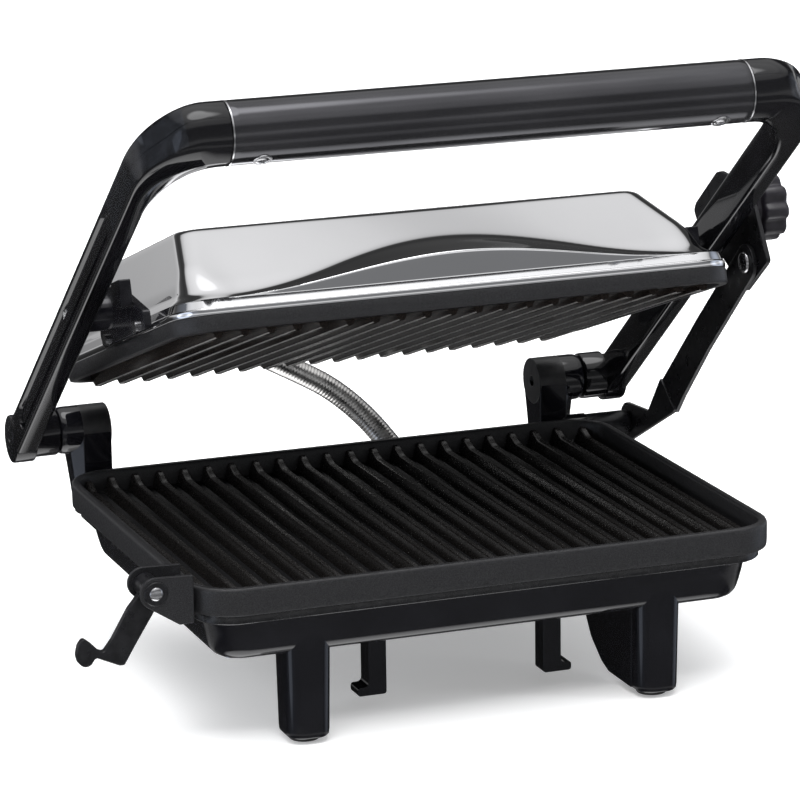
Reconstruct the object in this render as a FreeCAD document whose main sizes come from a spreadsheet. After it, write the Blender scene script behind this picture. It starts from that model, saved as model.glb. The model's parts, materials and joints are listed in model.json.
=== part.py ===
import FreeCAD, Part
import math
import os

import Sketcher
from FreeCAD import Placement, Rotation, Vector

# Panini press, open.  X runs across the press, -Y is the front, +Z is up.
# The origin is on the table, below the middle of the lower grill plate.

doc = FreeCAD.newDocument("PaniniPress")

# ---------------------------------------------------------------- driving sizes, in mm and degrees
SIZES = {
    # lower grill plate and its housing
    "rim_width": 272, "rim_depth": 211.5, "rim_corner": 21, "rim_top": 78,
    "plate_height": 12.5, "rim_wall": 4.2, "dish_depth": 10.5,
    "rib_pitch": 11.9, "rib_count": 22, "rib_foot": 7.6, "rib_crest": 3, "rib_height": 4.5,
    "ring_height": 4.5, "ring_inset": 3.8, "ring_width": 8.2,
    "tub_inset": 8, "tub_draft": 5, "tub_bottom": 41.5, "tub_wall": 2.5, "tub_edge": 7,
    "foot_height": 2.5, "foot_bore": 7,
    "leg_across": 82.5, "leg_front": -95, "leg_width": 21, "leg_length": 25,
    "back_leg_across": 55, "back_leg_along": 80,
    "cleat_across": 41.5, "cleat_along": -60,
    # hinge between base and handle
    "hinge_back": 122.3, "hinge_up": 94.15, "barrel_radius": 11.3, "pin_radius": 4,
    "post_inner": 109, "post_outer": 133, "running_gap": 0.05,
    # arms and grip
    "arm_angle": 38.9, "arm_inner": 145, "arm_outer": 155, "arm_half": 8.8, "arm_shift": 2.6,
    "arm_foot": 11.4, "arm_slot_half": 5.8, "arm_slot_depth": 2, "reach": 285,
    "grip_radius": 13.8, "grip_half": 118.3, "grip_wall": 1.8, "grip_spigot": 24,
    # lid
    "lid_tilt": 18.95, "lid_back": 24.04, "lid_up": 149.47, "lid_width": 260.3, "lid_depth": 207.7,
    "lid_corner": 20, "band_height": 7.5, "lid_dish": 3, "upper_rib": 5.5,
    "dome_skirt": 12, "dome_height": 50.5, "dome_top_width": 224, "dome_front": -52, "dome_back": 66,
    "dome_wall": 1.2, "pivot_along": 124,
    # folding stay on the right-hand side
    "bar_inner": 157.5, "bar_thick": 2.2, "bar_half": 8.6, "bar_step": 1.3,
    "plate_inner": 160.1, "plate_thick": 2.4, "knob_along": 169.5, "stay_drop": 23.2, "stay_lead": 9,
    "rivet_radius": 3,
    "knob_inner": 163, "knob_length": 14.5, "knob_radius": 15.4, "knob_flutes": 9,
    # latch on the left-hand side
    "latch_across": -152.3, "latch_up": 77.6, "latch_front": -97, "latch_back": -77, "ear_thick": 2,
    # wiring
    "heater_radius": 3.2, "conduit_radius": 5.8,
}

sheet = doc.addObject("Spreadsheet::Sheet", "sizes")
for row, (alias, value) in enumerate(SIZES.items(), start=1):
    sheet.set("A%d" % row, alias)
    sheet.set("B%d" % row, str(value))
    sheet.setAlias("B%d" % row, alias)
doc.recompute()


def value(expression):
    """A number worked out by the document from the sheet."""
    result = sheet.evalExpression(expression)
    return float(getattr(result, "Value", result))


def size(alias):
    return float(sheet.get(alias))


PARTS = []


def keep(part, label):
    part.Label = label
    PARTS.append(part)
    return part


# ---------------------------------------------------------------- places that several parts share
HINGE = Vector(0, size("hinge_back"), size("hinge_up"))
ARM_ANGLE = math.radians(size("arm_angle"))
ALONG = Vector(0, -math.cos(ARM_ANGLE), math.sin(ARM_ANGLE))
BELOW = Vector(0, -math.sin(ARM_ANGLE), -math.cos(ARM_ANGLE))
LID_PLACE = Placement(Vector(0, size("lid_back"), size("lid_up")),
                      Rotation(Vector(1, 0, 0), -size("lid_tilt")))
X_AXIS = Vector(1, 0, 0)
Y_AXIS = Vector(0, 1, 0)
Z_AXIS = Vector(0, 0, 1)


def on_arm(along, below=0.0, across=0.0):
    """A point given by its distance up the arm from the hinge and below the arm's line."""
    return HINGE + ALONG * along + BELOW * below + X_AXIS * across


LID_PIVOT = on_arm(size("pivot_along"))
KNOB_PIVOT = on_arm(size("knob_along"))
STAY_OFFSET = Vector(0, -size("stay_lead"), -size("stay_drop"))
STAY_TOP = KNOB_PIVOT + STAY_OFFSET
STAY_FOOT = HINGE + STAY_OFFSET
GRIP = on_arm(size("reach"))
LID_PIVOT_LOCAL = LID_PLACE.inverse().multVec(LID_PIVOT)


# ---------------------------------------------------------------- shapes made in code
def rod(start, axis, radius, length):
    return Part.makeCylinder(radius, length, start, axis)


def block(low, high):
    return Part.makeBox(high[0] - low[0], high[1] - low[1], high[2] - low[2], Vector(*low))


def outline(points):
    return Part.makePolygon([Vector(*p) for p in points] + [Vector(*points[0])])


def slab(points, direction):
    return Part.Face(outline(points)).extrude(direction)


def link(start, end, radius, direction):
    """A flat link with round ends, lying in the YZ plane and extruded along X."""
    line = (end - start).normalize()
    side = line.cross(X_AXIS).normalize() * radius
    edges = [Part.makeLine(start + side, end + side),
             Part.Arc(end + side, end + line * radius, end - side).toShape(),
             Part.makeLine(end - side, start - side),
             Part.Arc(start - side, start - line * radius, start + side).toShape()]
    return Part.Face(Part.Wire(edges)).extrude(direction)


def rounded_wire(width, depth, radius, height, shift=0.0):
    """A rounded rectangle, centred across X, at one height."""
    x, y = width / 2, depth / 2
    diagonal = radius * (1 - math.sqrt(0.5))
    edges = []
    for sx, sy in ((1, -1), (1, 1), (-1, 1), (-1, -1)):
        ends = [Vector(sx * (x - radius), sy * y + shift, height),
                Vector(sx * x, sy * (y - radius) + shift, height)]
        if sx * sy > 0:
            ends.reverse()
        middle = Vector(sx * (x - diagonal), sy * (y - diagonal) + shift, height)
        edges.append(Part.Arc(ends[0], middle, ends[1]).toShape())
    arcs = list(edges)
    for index, arc in enumerate(arcs):
        following = arcs[(index + 1) % 4]
        edges.append(Part.makeLine(arc.Vertexes[-1].Point, following.Vertexes[0].Point))
    return Part.Wire(Part.__sortEdges__(edges))


def rounded_slab(width, depth, radius, low, high, shift=0.0):
    face = Part.Face(rounded_wire(width, depth, radius, low, shift))
    return face.extrude(Vector(0, 0, high - low))


def mirrored(shape):
    return shape.mirror(Vector(0, 0, 0), X_AXIS)


def both_sides(shape):
    return Part.makeCompound([shape, mirrored(shape)])


def round_path(points, radius_limit):
    """Straight runs joined by arcs as large as the shorter run beside each corner allows."""
    places = [Vector(*p) for p in points]
    edges = []
    start = places[0]
    for before, corner, after in zip(places, places[1:], places[2:]):
        back = (before - corner).normalize()
        ahead = (after - corner).normalize()
        turn = math.pi - back.getAngle(ahead)
        shorter = min((before - corner).Length, (after - corner).Length)
        radius = min(radius_limit, 0.45 * shorter / math.tan(turn / 2))
        trim = radius * math.tan(turn / 2)
        inward = (back + ahead).normalize()
        apex = corner + inward * (radius / math.cos(turn / 2) - radius)
        entry, leave = corner + back * trim, corner + ahead * trim
        edges.append(Part.makeLine(start, entry))
        edges.append(Part.Arc(entry, apex, leave).toShape())
        start = leave
    edges.append(Part.makeLine(start, places[-1]))
    return Part.Wire(edges)


def tube_along(path, radius):
    """A round solid swept along a path of lines and tangent arcs."""
    first = path.OrderedEdges[0]
    direction = first.tangentAt(first.FirstParameter)
    circle = Part.Wire(Part.makeCircle(radius, path.OrderedVertexes[0].Point, direction))
    return path.makePipeShell([circle], True, True)


def code_part(label, shape, place=None):
    """A part whose shape is set in code, from the sheet's sizes."""
    part = doc.addObject("Part::Feature", label)
    part.Shape = shape
    if place is not None:
        part.Placement = place
    return keep(part, label)


# ---------------------------------------------------------------- parametric objects
def cylinder(name, radius, length, base, axis):
    """A Part::Cylinder along an axis; radius, length and the base's places are expressions."""
    part = doc.addObject("Part::Cylinder", name)
    part.Placement = Placement(Vector(0, 0, 0), Rotation(Z_AXIS, axis))
    part.setExpression("Radius", radius)
    part.setExpression("Height", length)
    for key, expression in zip("xyz", base):
        part.setExpression("Placement.Base." + key, expression)
    return part


def cut(label, base, tool):
    part = doc.addObject("Part::Cut", label)
    part.Base = base
    part.Tool = tool
    return keep(part, label)


def group(label, members):
    part = doc.addObject("Part::Compound", label)
    part.Links = members
    return keep(part, label)


def new_sketch(body, name, role, lift="0 mm"):
    """A sketch on one of the body's own origin planes, lifted along the plane's normal."""
    plane = next(f for f in body.Origin.OriginFeatures if f.Role == role)
    sketch = body.newObject("Sketcher::SketchObject", name)
    sketch.AttachmentSupport = [(plane, "")]
    sketch.MapMode = "FlatFace"
    sketch.setExpression("AttachmentOffset.Base.z", lift)
    return sketch


def bind(sketch, constraints):
    """Adds dimensions whose values are expressions on the sheet."""
    for name, arguments, expression in constraints:
        index = sketch.addConstraint(Sketcher.Constraint(*arguments, value(expression)))
        sketch.renameConstraint(index, name)
        sketch.setExpression("Constraints." + name, expression)


def draw_rounded(sketch, width, depth, radius):
    """A rounded rectangle centred on the sketch's origin."""
    x, y, r = value(width) / 2, value(depth) / 2, value(radius)
    first = sketch.GeometryCount
    corners = [(x, -y), (x, y), (-x, y), (-x, -y)]
    for index, (cx, cy) in enumerate(corners):
        px, py = corners[index - 1]
        along = Vector(cx - px, cy - py, 0).normalize() * r
        sketch.addGeometry(Part.LineSegment(Vector(px, py, 0) + along, Vector(cx, cy, 0) - along))
        centre = Vector(cx - math.copysign(r, cx), cy - math.copysign(r, cy), 0)
        start = (index - 1) * math.pi / 2
        circle = Part.Circle(centre, Z_AXIS, r)
        sketch.addGeometry(Part.ArcOfCircle(circle, start, start + math.pi / 2))
    lines = [first + 2 * i for i in range(4)]
    arcs = [first + 2 * i + 1 for i in range(4)]
    for index in range(4):
        sketch.addConstraint(Sketcher.Constraint("Tangent", lines[index], 2, arcs[index], 1))
        sketch.addConstraint(Sketcher.Constraint("Tangent", arcs[index], 2, lines[(index + 1) % 4], 1))
        kind = "Horizontal" if index % 2 == 0 else "Vertical"
        sketch.addConstraint(Sketcher.Constraint(kind, lines[index]))
    for arc in arcs[1:]:
        sketch.addConstraint(Sketcher.Constraint("Equal", arcs[0], arc))
    sketch.addConstraint(Sketcher.Constraint("Symmetric", arcs[1], 3, arcs[3], 3, -1, 1))
    tag = "_%d" % first
    bind(sketch, [("width" + tag, ("DistanceX", lines[3], 1, lines[1], 1), width),
                  ("depth" + tag, ("DistanceY", lines[0], 1, lines[2], 1), depth),
                  ("radius" + tag, ("Radius", arcs[0]), radius)])


def draw_trapezium(sketch, foot, crest, height, rise, shift):
    """A rib's section: a wide foot at a given height, and a narrower crest."""
    base, top = value(rise), value(rise) + value(height)
    half, tip, x = value(foot) / 2, value(crest) / 2, value(shift)
    places = [(x - half, base), (x + half, base), (x + tip, top), (x - tip, top)]
    for index, (px, py) in enumerate(places):
        qx, qy = places[(index + 1) % 4]
        sketch.addGeometry(Part.LineSegment(Vector(px, py, 0), Vector(qx, qy, 0)))
    for index in range(4):
        sketch.addConstraint(Sketcher.Constraint("Coincident", index, 2, (index + 1) % 4, 1))
    sketch.addConstraint(Sketcher.Constraint("Horizontal", 0))
    sketch.addConstraint(Sketcher.Constraint("Horizontal", 2))
    sketch.addConstraint(Sketcher.Constraint("Equal", 1, 3))
    bind(sketch, [("foot", ("DistanceX", 0, 1, 0, 2), foot),
                  ("crest", ("DistanceX", 2, 2, 2, 1), crest),
                  ("height", ("DistanceY", 1, 1, 1, 2), height),
                  ("rise", ("DistanceY", -1, 1, 0, 1), rise),
                  ("edge", ("DistanceX", 0, 1, -1, 1), "%s / 2 - (%s)" % (foot, shift))])


def pad(body, sketch, length, reverse=False, midplane=False):
    feature = body.newObject("PartDesign::Pad", sketch.Name + "_pad")
    feature.Profile = sketch
    feature.setExpression("Length", length)
    feature.Reversed = reverse
    feature.Midplane = midplane
    sketch.Visibility = False
    return feature


def pocket(body, sketch, length, reverse=False):
    before = body.Shape.Volume
    feature = body.newObject("PartDesign::Pocket", sketch.Name + "_pocket")
    feature.Profile = sketch
    feature.setExpression("Length", length)
    feature.Reversed = reverse
    doc.recompute()
    if body.Shape.Volume > before - 1:
        raise RuntimeError(feature.Name + " cuts nothing")
    return feature


def fasten_body(body, label, place=None):
    if place is not None:
        body.Placement = place
    return keep(body, label)


# ---------------------------------------------------------------- grill plates
def grill_plate(label, width, depth, corner, low, height, dish, rib_height, below, place=None):
    """A cast plate: a rim, a shallow dish on the cooking side and ribs across the dish."""
    body = doc.addObject("PartDesign::Body", label)
    rim = new_sketch(body, label + "_rim", "XY_Plane", low)
    draw_rounded(rim, width, depth, corner)
    pad(body, rim, height)
    doc.recompute()
    face = low if below else "%s + %s" % (low, height)
    hollow = new_sketch(body, label + "_dish", "XY_Plane", face)
    draw_rounded(hollow, width + " - 2 * sizes.rim_wall", depth + " - 2 * sizes.rim_wall",
                 corner + " - sizes.rim_wall")
    pocket(body, hollow, dish, reverse=below)
    section = new_sketch(body, label + "_rib", "XZ_Plane")
    start = "-(sizes.rib_count - 1) / 2 * sizes.rib_pitch"
    if below:
        draw_trapezium(section, "sizes.rib_crest", "sizes.rib_foot", rib_height,
                       "%s - (%s)" % (dish, rib_height), start)
    else:
        draw_trapezium(section, "sizes.rib_foot", "sizes.rib_crest", rib_height,
                       "%s + %s - %s" % (low, height, dish), start)
    ribs = pad(body, section, depth + " - 2 * sizes.rim_wall + 1", midplane=True)
    doc.recompute()
    pattern = body.newObject("PartDesign::LinearPattern", label + "_ribs")
    pattern.Originals = [ribs]
    pattern.Direction = (section, ["H_Axis"])
    pattern.setExpression("Length", "(sizes.rib_count - 1) * sizes.rib_pitch")
    pattern.setExpression("Occurrences", "sizes.rib_count")
    body.Tip = pattern
    return fasten_body(body, label, place)


grill_plate("lower_grill_plate", "sizes.rim_width", "sizes.rim_depth", "sizes.rim_corner",
            "sizes.rim_top - sizes.plate_height", "sizes.plate_height", "sizes.dish_depth",
            "sizes.rib_height", below=False)
grill_plate("upper_grill_plate", "sizes.lid_width", "sizes.lid_depth", "sizes.lid_corner",
            "0", "sizes.band_height", "sizes.lid_dish", "sizes.upper_rib", below=True,
            place=LID_PLACE)


def flat_ring(label, low, height):
    """The dark collar between the grill plate and the housing."""
    body = doc.addObject("PartDesign::Body", label)
    outer = new_sketch(body, label + "_outer", "XY_Plane", low)
    draw_rounded(outer, "sizes.rim_width - 2 * sizes.ring_inset",
                 "sizes.rim_depth - 2 * sizes.ring_inset", "sizes.rim_corner - sizes.ring_inset")
    pad(body, outer, height)
    doc.recompute()
    inner = new_sketch(body, label + "_inner", "XY_Plane", "%s + %s" % (low, height))
    inset = "2 * (sizes.ring_inset + sizes.ring_width)"
    draw_rounded(inner, "sizes.rim_width - " + inset, "sizes.rim_depth - " + inset,
                 "sizes.rim_corner - sizes.ring_inset - sizes.ring_width")
    pocket(body, inner, height)
    return fasten_body(body, label)


def sheet_tray(label, width, depth, low, place=None):
    """A thin aluminised reflector behind a heater."""
    body = doc.addObject("PartDesign::Body", label)
    face = new_sketch(body, label + "_face", "XY_Plane", low)
    draw_rounded(face, width, depth, "12")
    pad(body, face, "0.6")
    return fasten_body(body, label, place)


COLLAR_LOW = "sizes.rim_top - sizes.plate_height - sizes.ring_height"
flat_ring("plate_collar", COLLAR_LOW, "sizes.ring_height")
sheet_tray("lower_reflector", "214", "150", "52")
sheet_tray("upper_reflector", "216", "140", "17", LID_PLACE)

# ---------------------------------------------------------------- base housing
COLLAR_BOTTOM = value(COLLAR_LOW)
TUB_LOW = size("tub_bottom")
WALL = size("tub_wall")
INLET = Vector(-70, 0, 52)
BASE_GLAND = Vector(48, 98, 52)
GLAND_OUTER = 7.4
SCREW_PLACES = [(sx * 115, sy * 84) for sx in (-1, 1) for sy in (-1, 1)]
SCREW_RADIUS = 2


def tub_solid(inset, low):
    """The tapered bowl below the grill plate; an inset makes the space inside it."""
    width = size("rim_width") - 2 * size("tub_inset") - 2 * inset
    depth = size("rim_depth") - 2 * size("tub_inset") - 2 * inset
    corner = size("rim_corner") - size("tub_inset")
    draft = 2 * size("tub_draft")
    wires = [rounded_wire(width - draft, depth - draft, corner, low),
             rounded_wire(width, depth, corner, COLLAR_BOTTOM)]
    return Part.makeLoft(wires, True, True)


def front_leg():
    """A tapered leg with a rounded front, and a web that runs back under the housing."""
    across, front = size("leg_across"), size("leg_front")
    width, length, taper = size("leg_width"), size("leg_length"), 3
    middle = front + length / 2
    wires = []
    for shrink, height in ((taper, size("foot_height")), (0, TUB_LOW + 1)):
        wire = rounded_wire(width - shrink, length - shrink, 7.4, height)
        wire.translate(Vector(across, middle, 0))
        wires.append(wire)
    leg = Part.makeLoft(wires, True, True)
    inner, back = across - width / 2 + 1.5, front + length / 2
    ceiling = TUB_LOW + 1
    web = slab([(inner, back, ceiling), (inner, -16, ceiling), (inner, -38, 14), (inner, -50, 6),
                (inner, -58, 4), (inner, back, 4)], Vector(3, 0, 0))
    return leg.fuse(web)


def back_leg():
    width, length = 18, 16
    wires = []
    for shrink, height in ((3, size("foot_height")), (0, TUB_LOW + 1)):
        wire = rounded_wire(width - shrink, length - shrink, 5, height)
        wire.translate(Vector(size("back_leg_across"), size("back_leg_along"), 0))
        wires.append(wire)
    return Part.makeLoft(wires, True, True)


def cord_cleat():
    """Half of the cord store under the base: a stem with an outward toe."""
    x, y = size("cleat_across"), size("cleat_along")
    stem = block((x - 4, y - 5, 10), (x + 4.5, y + 5, TUB_LOW + 1))
    toe = block((x - 4, y - 5, 9), (x + 9.5, y + 5, 13))
    return stem.fuse(toe)


def hinge_post():
    """A post behind the plate that narrows downwards, with the hinge barrel on top."""
    inner, outer = size("post_inner"), size("post_outer")
    radius = size("barrel_radius")
    barrel = rod(HINGE + X_AXIS * inner, X_AXIS, radius, outer - inner)
    front, foot = HINGE.y - radius, COLLAR_BOTTOM - 7
    wires = []
    for side, back, height in ((outer - 8, HINGE.y + 2, foot), (outer - 4, HINGE.y + radius, HINGE.z)):
        wires.append(outline([(inner, front, height), (inner + 13.5, front, height),
                              (side, front + 6, height), (side, back, height), (inner, back, height)]))
    column = Part.makeLoft(wires, True, True)
    root = block((inner, 86, foot), (outer - 11, HINGE.y, COLLAR_BOTTOM))
    return barrel.multiFuse([column, root])


def base_housing():
    tub = tub_solid(0, TUB_LOW)
    floor_edges = [e for e in tub.Edges if abs(e.BoundBox.ZMax - TUB_LOW) < 0.01]
    tub = tub.makeFillet(size("tub_edge"), floor_edges)
    side = front_leg().multiFuse([back_leg(), cord_cleat(), hinge_post()])
    stay_boss = rod(STAY_FOOT + X_AXIS * (size("post_outer") - 13), X_AXIS, 6.5, 13)
    body = tub.multiFuse([side, mirrored(side), stay_boss])
    room = tub_solid(WALL, TUB_LOW + WALL)
    room = room.fuse(mirrored(room))
    bosses = [rod(Vector(x, y, TUB_LOW + WALL - 1), Z_AXIS, 4.5, COLLAR_BOTTOM - TUB_LOW - WALL + 1)
              for x, y in SCREW_PLACES]
    keep_out = [rod(Vector(x, y, TUB_LOW - 1), Z_AXIS, SCREW_RADIUS, 30) for x, y in SCREW_PLACES]
    keep_out += [rod(Vector(x, y, TUB_LOW - 1), Z_AXIS, 4, 3) for x, y in SCREW_PLACES]
    inner, outer = size("post_inner"), size("post_outer")
    for sign in (-1, 1):
        start = min(sign * inner, sign * outer) - 1
        keep_out.append(rod(HINGE + X_AXIS * start, X_AXIS, size("pin_radius"), outer - inner + 2))
    keep_out.append(rod(STAY_FOOT + X_AXIS * (outer - 12), X_AXIS, size("pin_radius"), 13))
    keep_out.append(rod(Vector(INLET.x, 84, INLET.z), Y_AXIS, 6, 20))
    keep_out.append(rod(BASE_GLAND - Y_AXIS * 12, Y_AXIS, GLAND_OUTER, 18))
    return body.cut(room).multiFuse(bosses).cut(Part.makeCompound(keep_out))


code_part("base_housing", base_housing())

# ---------------------------------------------------------------- small parts of the base
PIN = "sizes.pin_radius"
SIDES = (("left", -1), ("right", 1))


def foot_pad(name, across, along):
    return cylinder(name, "sizes.foot_bore", "sizes.foot_height", (across, along, "0"), Z_AXIS)


group("rubber_feet", [
    foot_pad("foot_%s_%s" % (end, side), "%d * sizes.%s_across" % (sign, leg), along)
    for end, leg, along in (("front", "leg", "sizes.leg_front + sizes.leg_length / 2"),
                            ("back", "back_leg", "sizes.back_leg_along"))
    for side, sign in SIDES])

for side, sign in SIDES:
    start = "sizes.post_inner + 3" if sign > 0 else "-sizes.arm_inner - 1"
    keep(cylinder(side + "_hinge_pin", PIN, "sizes.arm_inner - sizes.post_inner - 2",
                  (start, "sizes.hinge_back", "sizes.hinge_up"), X_AXIS), side + "_hinge_pin")

code_part("base_screws", Part.makeCompound(
    [rod(Vector(x, y, TUB_LOW + 0.4), Z_AXIS, 3.6, 1.6).fuse(
        rod(Vector(x, y, TUB_LOW + 2), Z_AXIS, SCREW_RADIUS, COLLAR_BOTTOM + 4.4 - TUB_LOW - 2))
     for x, y in SCREW_PLACES]))


def heater(half, front, back, height):
    """A tubular element bent to a U, its two cold ends at the back."""
    path = round_path([(-half, back, height), (-half, front, height),
                       (half, front, height), (half, back, height)], 40)
    return tube_along(path, size("heater_radius"))


code_part("lower_heater", heater(92, -66, 84, 62))
code_part("upper_heater", heater(92, -66, 78, 11.4), LID_PLACE)
keep(cylinder("lower_thermostat", "9", "5.4", ("40", "10", "53"), Z_AXIS), "lower_thermostat")
code_part("terminal_block", Part.makeCompound(
    [block((-84 + 11 * i, 50, TUB_LOW + WALL), (-75 + 11 * i, 64, TUB_LOW + WALL + 7))
     for i in range(3)]).fuse(block((-86, 54, TUB_LOW + WALL), (-51, 60, TUB_LOW + WALL + 4))))

inlet_outer = cylinder("cord_inlet_outer", "6", "12", (str(INLET.x), "88", str(INLET.z)), Y_AXIS)
inlet_inner = cylinder("cord_inlet_inner", "3.8", "14", (str(INLET.x), "87", str(INLET.z)), Y_AXIS)
cut("cord_inlet", inlet_outer, inlet_inner)


def gland(length):
    """A flanged bush; its bore takes the conduit."""
    bush = rod(Vector(0, 0, 0), Y_AXIS, GLAND_OUTER, length)
    flange = rod(Vector(0, length - 3, 0), Y_AXIS, GLAND_OUTER + 1.3, 3)
    bore = rod(Vector(0, -1, 0), Y_AXIS, size("conduit_radius") + size("running_gap"), length + 2)
    return bush.fuse(flange).cut(bore)


# ---------------------------------------------------------------- conduit between base and lid
LID_GLAND_LOCAL = Vector(-36, 86, 21)
GLAND_LENGTH = 12
code_part("base_conduit_gland", gland(GLAND_LENGTH),
          Placement(BASE_GLAND - Y_AXIS * (GLAND_LENGTH - 4), Rotation()))
code_part("lid_conduit_gland", gland(GLAND_LENGTH + 2),
          LID_PLACE.multiply(Placement(LID_GLAND_LOCAL, Rotation())))
CONDUIT_START = LID_PLACE.multVec(LID_GLAND_LOCAL + Y_AXIS * 4)
CONDUIT_TURN = LID_PLACE.multVec(LID_GLAND_LOCAL + Y_AXIS * 37)
CONDUIT_ROUTE = [tuple(CONDUIT_START), tuple(CONDUIT_TURN), (-24, 151, 117), (-5, 149, 105.5),
                 (14, 145, 94), (30, 137, 78), (42, 125, 60), (48, 113, 52), (48, 92, 52)]
conduit_path = round_path(CONDUIT_ROUTE, 60)
conduit = tube_along(conduit_path, size("conduit_radius"))
code_part("wiring_conduit", conduit)
expected = math.pi * size("conduit_radius") ** 2 * conduit_path.Length
print("conduit volume %.0f, section times length %.0f" % (conduit.Volume, expected))

# ---------------------------------------------------------------- arms and grip
ELBOW_INNER = Vector(119, 238, 0)
ELBOW_OUTER = Vector(128, 260, 0)
ELBOW_START = 226
ELBOW_STEPS = 12
SLOT_LOW, SLOT_HIGH = 26, 216
RIDGES = ((SLOT_LOW + 4, 110), (138, SLOT_HIGH - 4))
RIDGE_HALF = 1.8
RECESS_HALF = 6


def elbow_section(inner, outer, blend):
    """A many-sided outline between two points of the bend: square at the arm, round at the grip."""
    half = size("arm_half") + (size("grip_radius") - size("arm_half")) * blend
    squareness = 8 - 6 * blend
    start = on_arm(inner[1], size("arm_shift") * (1 - blend), inner[0])
    end = on_arm(outer[1], size("arm_shift") * (1 - blend), outer[0])
    middle, reach = (start + end) / 2, (end - start) / 2
    count = 32
    points = []
    for index in range(count):
        angle = 2 * math.pi * index / count
        across, below = math.cos(angle), math.sin(angle)
        points.append(middle + reach * math.copysign(abs(across) ** (2 / squareness), across)
                      + BELOW * (half * math.copysign(abs(below) ** (2 / squareness), below)))
    return Part.makePolygon(points + points[:1])


def bent_arm():
    """The straight arm and the bend that carries it round into the end of the grip."""
    reach, radius = size("reach"), size("grip_radius")
    inner_x, outer_x = size("arm_inner"), size("arm_outer")
    sections = [elbow_section((inner_x, along), (outer_x, along), 0) for along in (0, ELBOW_START)]
    for step in range(ELBOW_STEPS + 1):
        angle = math.pi / 2 * step / ELBOW_STEPS
        inner = (ELBOW_INNER.x + (inner_x - ELBOW_INNER.x) * math.cos(angle),
                 ELBOW_INNER.y + (reach - radius - ELBOW_INNER.y) * math.sin(angle))
        outer = (ELBOW_OUTER.x + (outer_x - ELBOW_OUTER.x) * math.cos(angle),
                 ELBOW_OUTER.y + (reach + radius - ELBOW_OUTER.y) * math.sin(angle))
        sections.append(elbow_section(inner, outer, math.sin(angle) ** 2))
    end = size("grip_half")
    sections.append(elbow_section((end, reach - radius), (end, reach + radius), 1))
    return Part.makeLoft(sections, True, True)


def grip_screw_axis(sign):
    """Where a grip screw enters the tube, low on its front."""
    tilt = math.radians(55)
    outward = Vector(0, -math.cos(tilt), -math.sin(tilt))
    return GRIP + X_AXIS * (sign * 104), outward


def right_arm():
    inner, outer, shift = size("arm_inner"), size("arm_outer"), size("arm_shift")
    foot = rod(on_arm(-1, shift / 2, inner - 0.2), X_AXIS, size("arm_foot"), outer - inner + 0.4)
    foot = foot.makeFillet(1.2, foot.Edges[:1] + foot.Edges[2:])
    boss_start = size("post_outer") + 0.4
    boss = rod(HINGE + X_AXIS * boss_start, X_AXIS, size("barrel_radius"), inner - boss_start + 1)
    spigot = rod(GRIP + X_AXIS * (size("grip_half") - size("grip_spigot")), X_AXIS,
                 size("grip_radius") - size("grip_wall"), size("grip_spigot") + 1)
    arm = bent_arm().multiFuse([foot, boss, spigot])
    depth = size("arm_slot_depth")
    slot_half = size("arm_slot_half")
    slot = link(on_arm(SLOT_LOW, shift, outer - depth), on_arm(SLOT_HIGH, shift, outer - depth), slot_half,
                X_AXIS * (depth + 1))
    ridges = [link(on_arm(low, shift, outer - depth - 0.5), on_arm(high, shift, outer - depth - 0.5),
                   RIDGE_HALF, X_AXIS * (depth - 0.4)) for low, high in RIDGES]
    pivot_bore = rod(LID_PIVOT + X_AXIS * (inner - 1), X_AXIS, size("pin_radius"), outer - inner + 2)
    hinge_bore = rod(HINGE + X_AXIS * (boss_start - 1), X_AXIS,
                     size("pin_radius") + size("running_gap"), inner - boss_start + 4)
    place, outward = grip_screw_axis(1)
    screw_bore = rod(place, outward, 1.6, 30)
    recess = link(on_arm(SLOT_LOW + 2, shift, inner - 1), on_arm(SLOT_HIGH, shift, inner - 1),
                  RECESS_HALF, X_AXIS * 2)
    arm = arm.cut(slot).cut(recess).multiFuse(ridges)
    return arm.cut(Part.makeCompound([pivot_bore, hinge_bore, screw_bore]))


arm_shape = right_arm()
stud_bore = rod(KNOB_PIVOT + X_AXIS * (size("arm_outer") - 7), X_AXIS, size("pin_radius"), 8)
code_part("left_arm", mirrored(arm_shape))
code_part("right_arm", arm_shape.cut(stud_bore))

GRIP_PLACE = ("-sizes.grip_half + 0.1", str(GRIP.y), str(GRIP.z))
tube_outer = cylinder("grip_outer", "sizes.grip_radius", "2 * sizes.grip_half - 0.2", GRIP_PLACE, X_AXIS)
tube_inner = cylinder("grip_inner", "sizes.grip_radius - sizes.grip_wall + 0.02",
                      "2 * sizes.grip_half - 0.2", GRIP_PLACE, X_AXIS)
hollow_grip = doc.addObject("Part::Cut", "hollow_grip")
hollow_grip.Base, hollow_grip.Tool = tube_outer, tube_inner
screw_holes = []
screws = []
for side, sign in SIDES:
    place, outward = grip_screw_axis(sign)
    hole = doc.addObject("Part::Cylinder", side + "_grip_hole")
    hole.Radius, hole.Height = 3.1, 4
    hole.Placement = Placement(place + outward * (size("grip_radius") - 2), Rotation(Z_AXIS, outward))
    seat = size("grip_radius") - 1.7
    screw_holes.append(hole)
    head = rod(place + outward * seat, outward, 3, 1.5)
    slots = [block((-2.2, -0.35, 0), (2.2, 0.35, 1)), block((-0.35, -2.2, 0), (0.35, 2.2, 1))]
    cross = slots[0].fuse(slots[1])
    cross.Placement = Placement(place + outward * (seat + 0.9), Rotation(Z_AXIS, outward))
    shank = rod(place + outward * 6, outward, 1.6, seat - 5.5)
    screws.append(head.fuse(shank).cut(cross))
holes = doc.addObject("Part::Compound", "grip_holes")
holes.Links = screw_holes
cut("grip_tube", hollow_grip, holes)
code_part("grip_screws", Part.makeCompound(screws))

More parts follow.
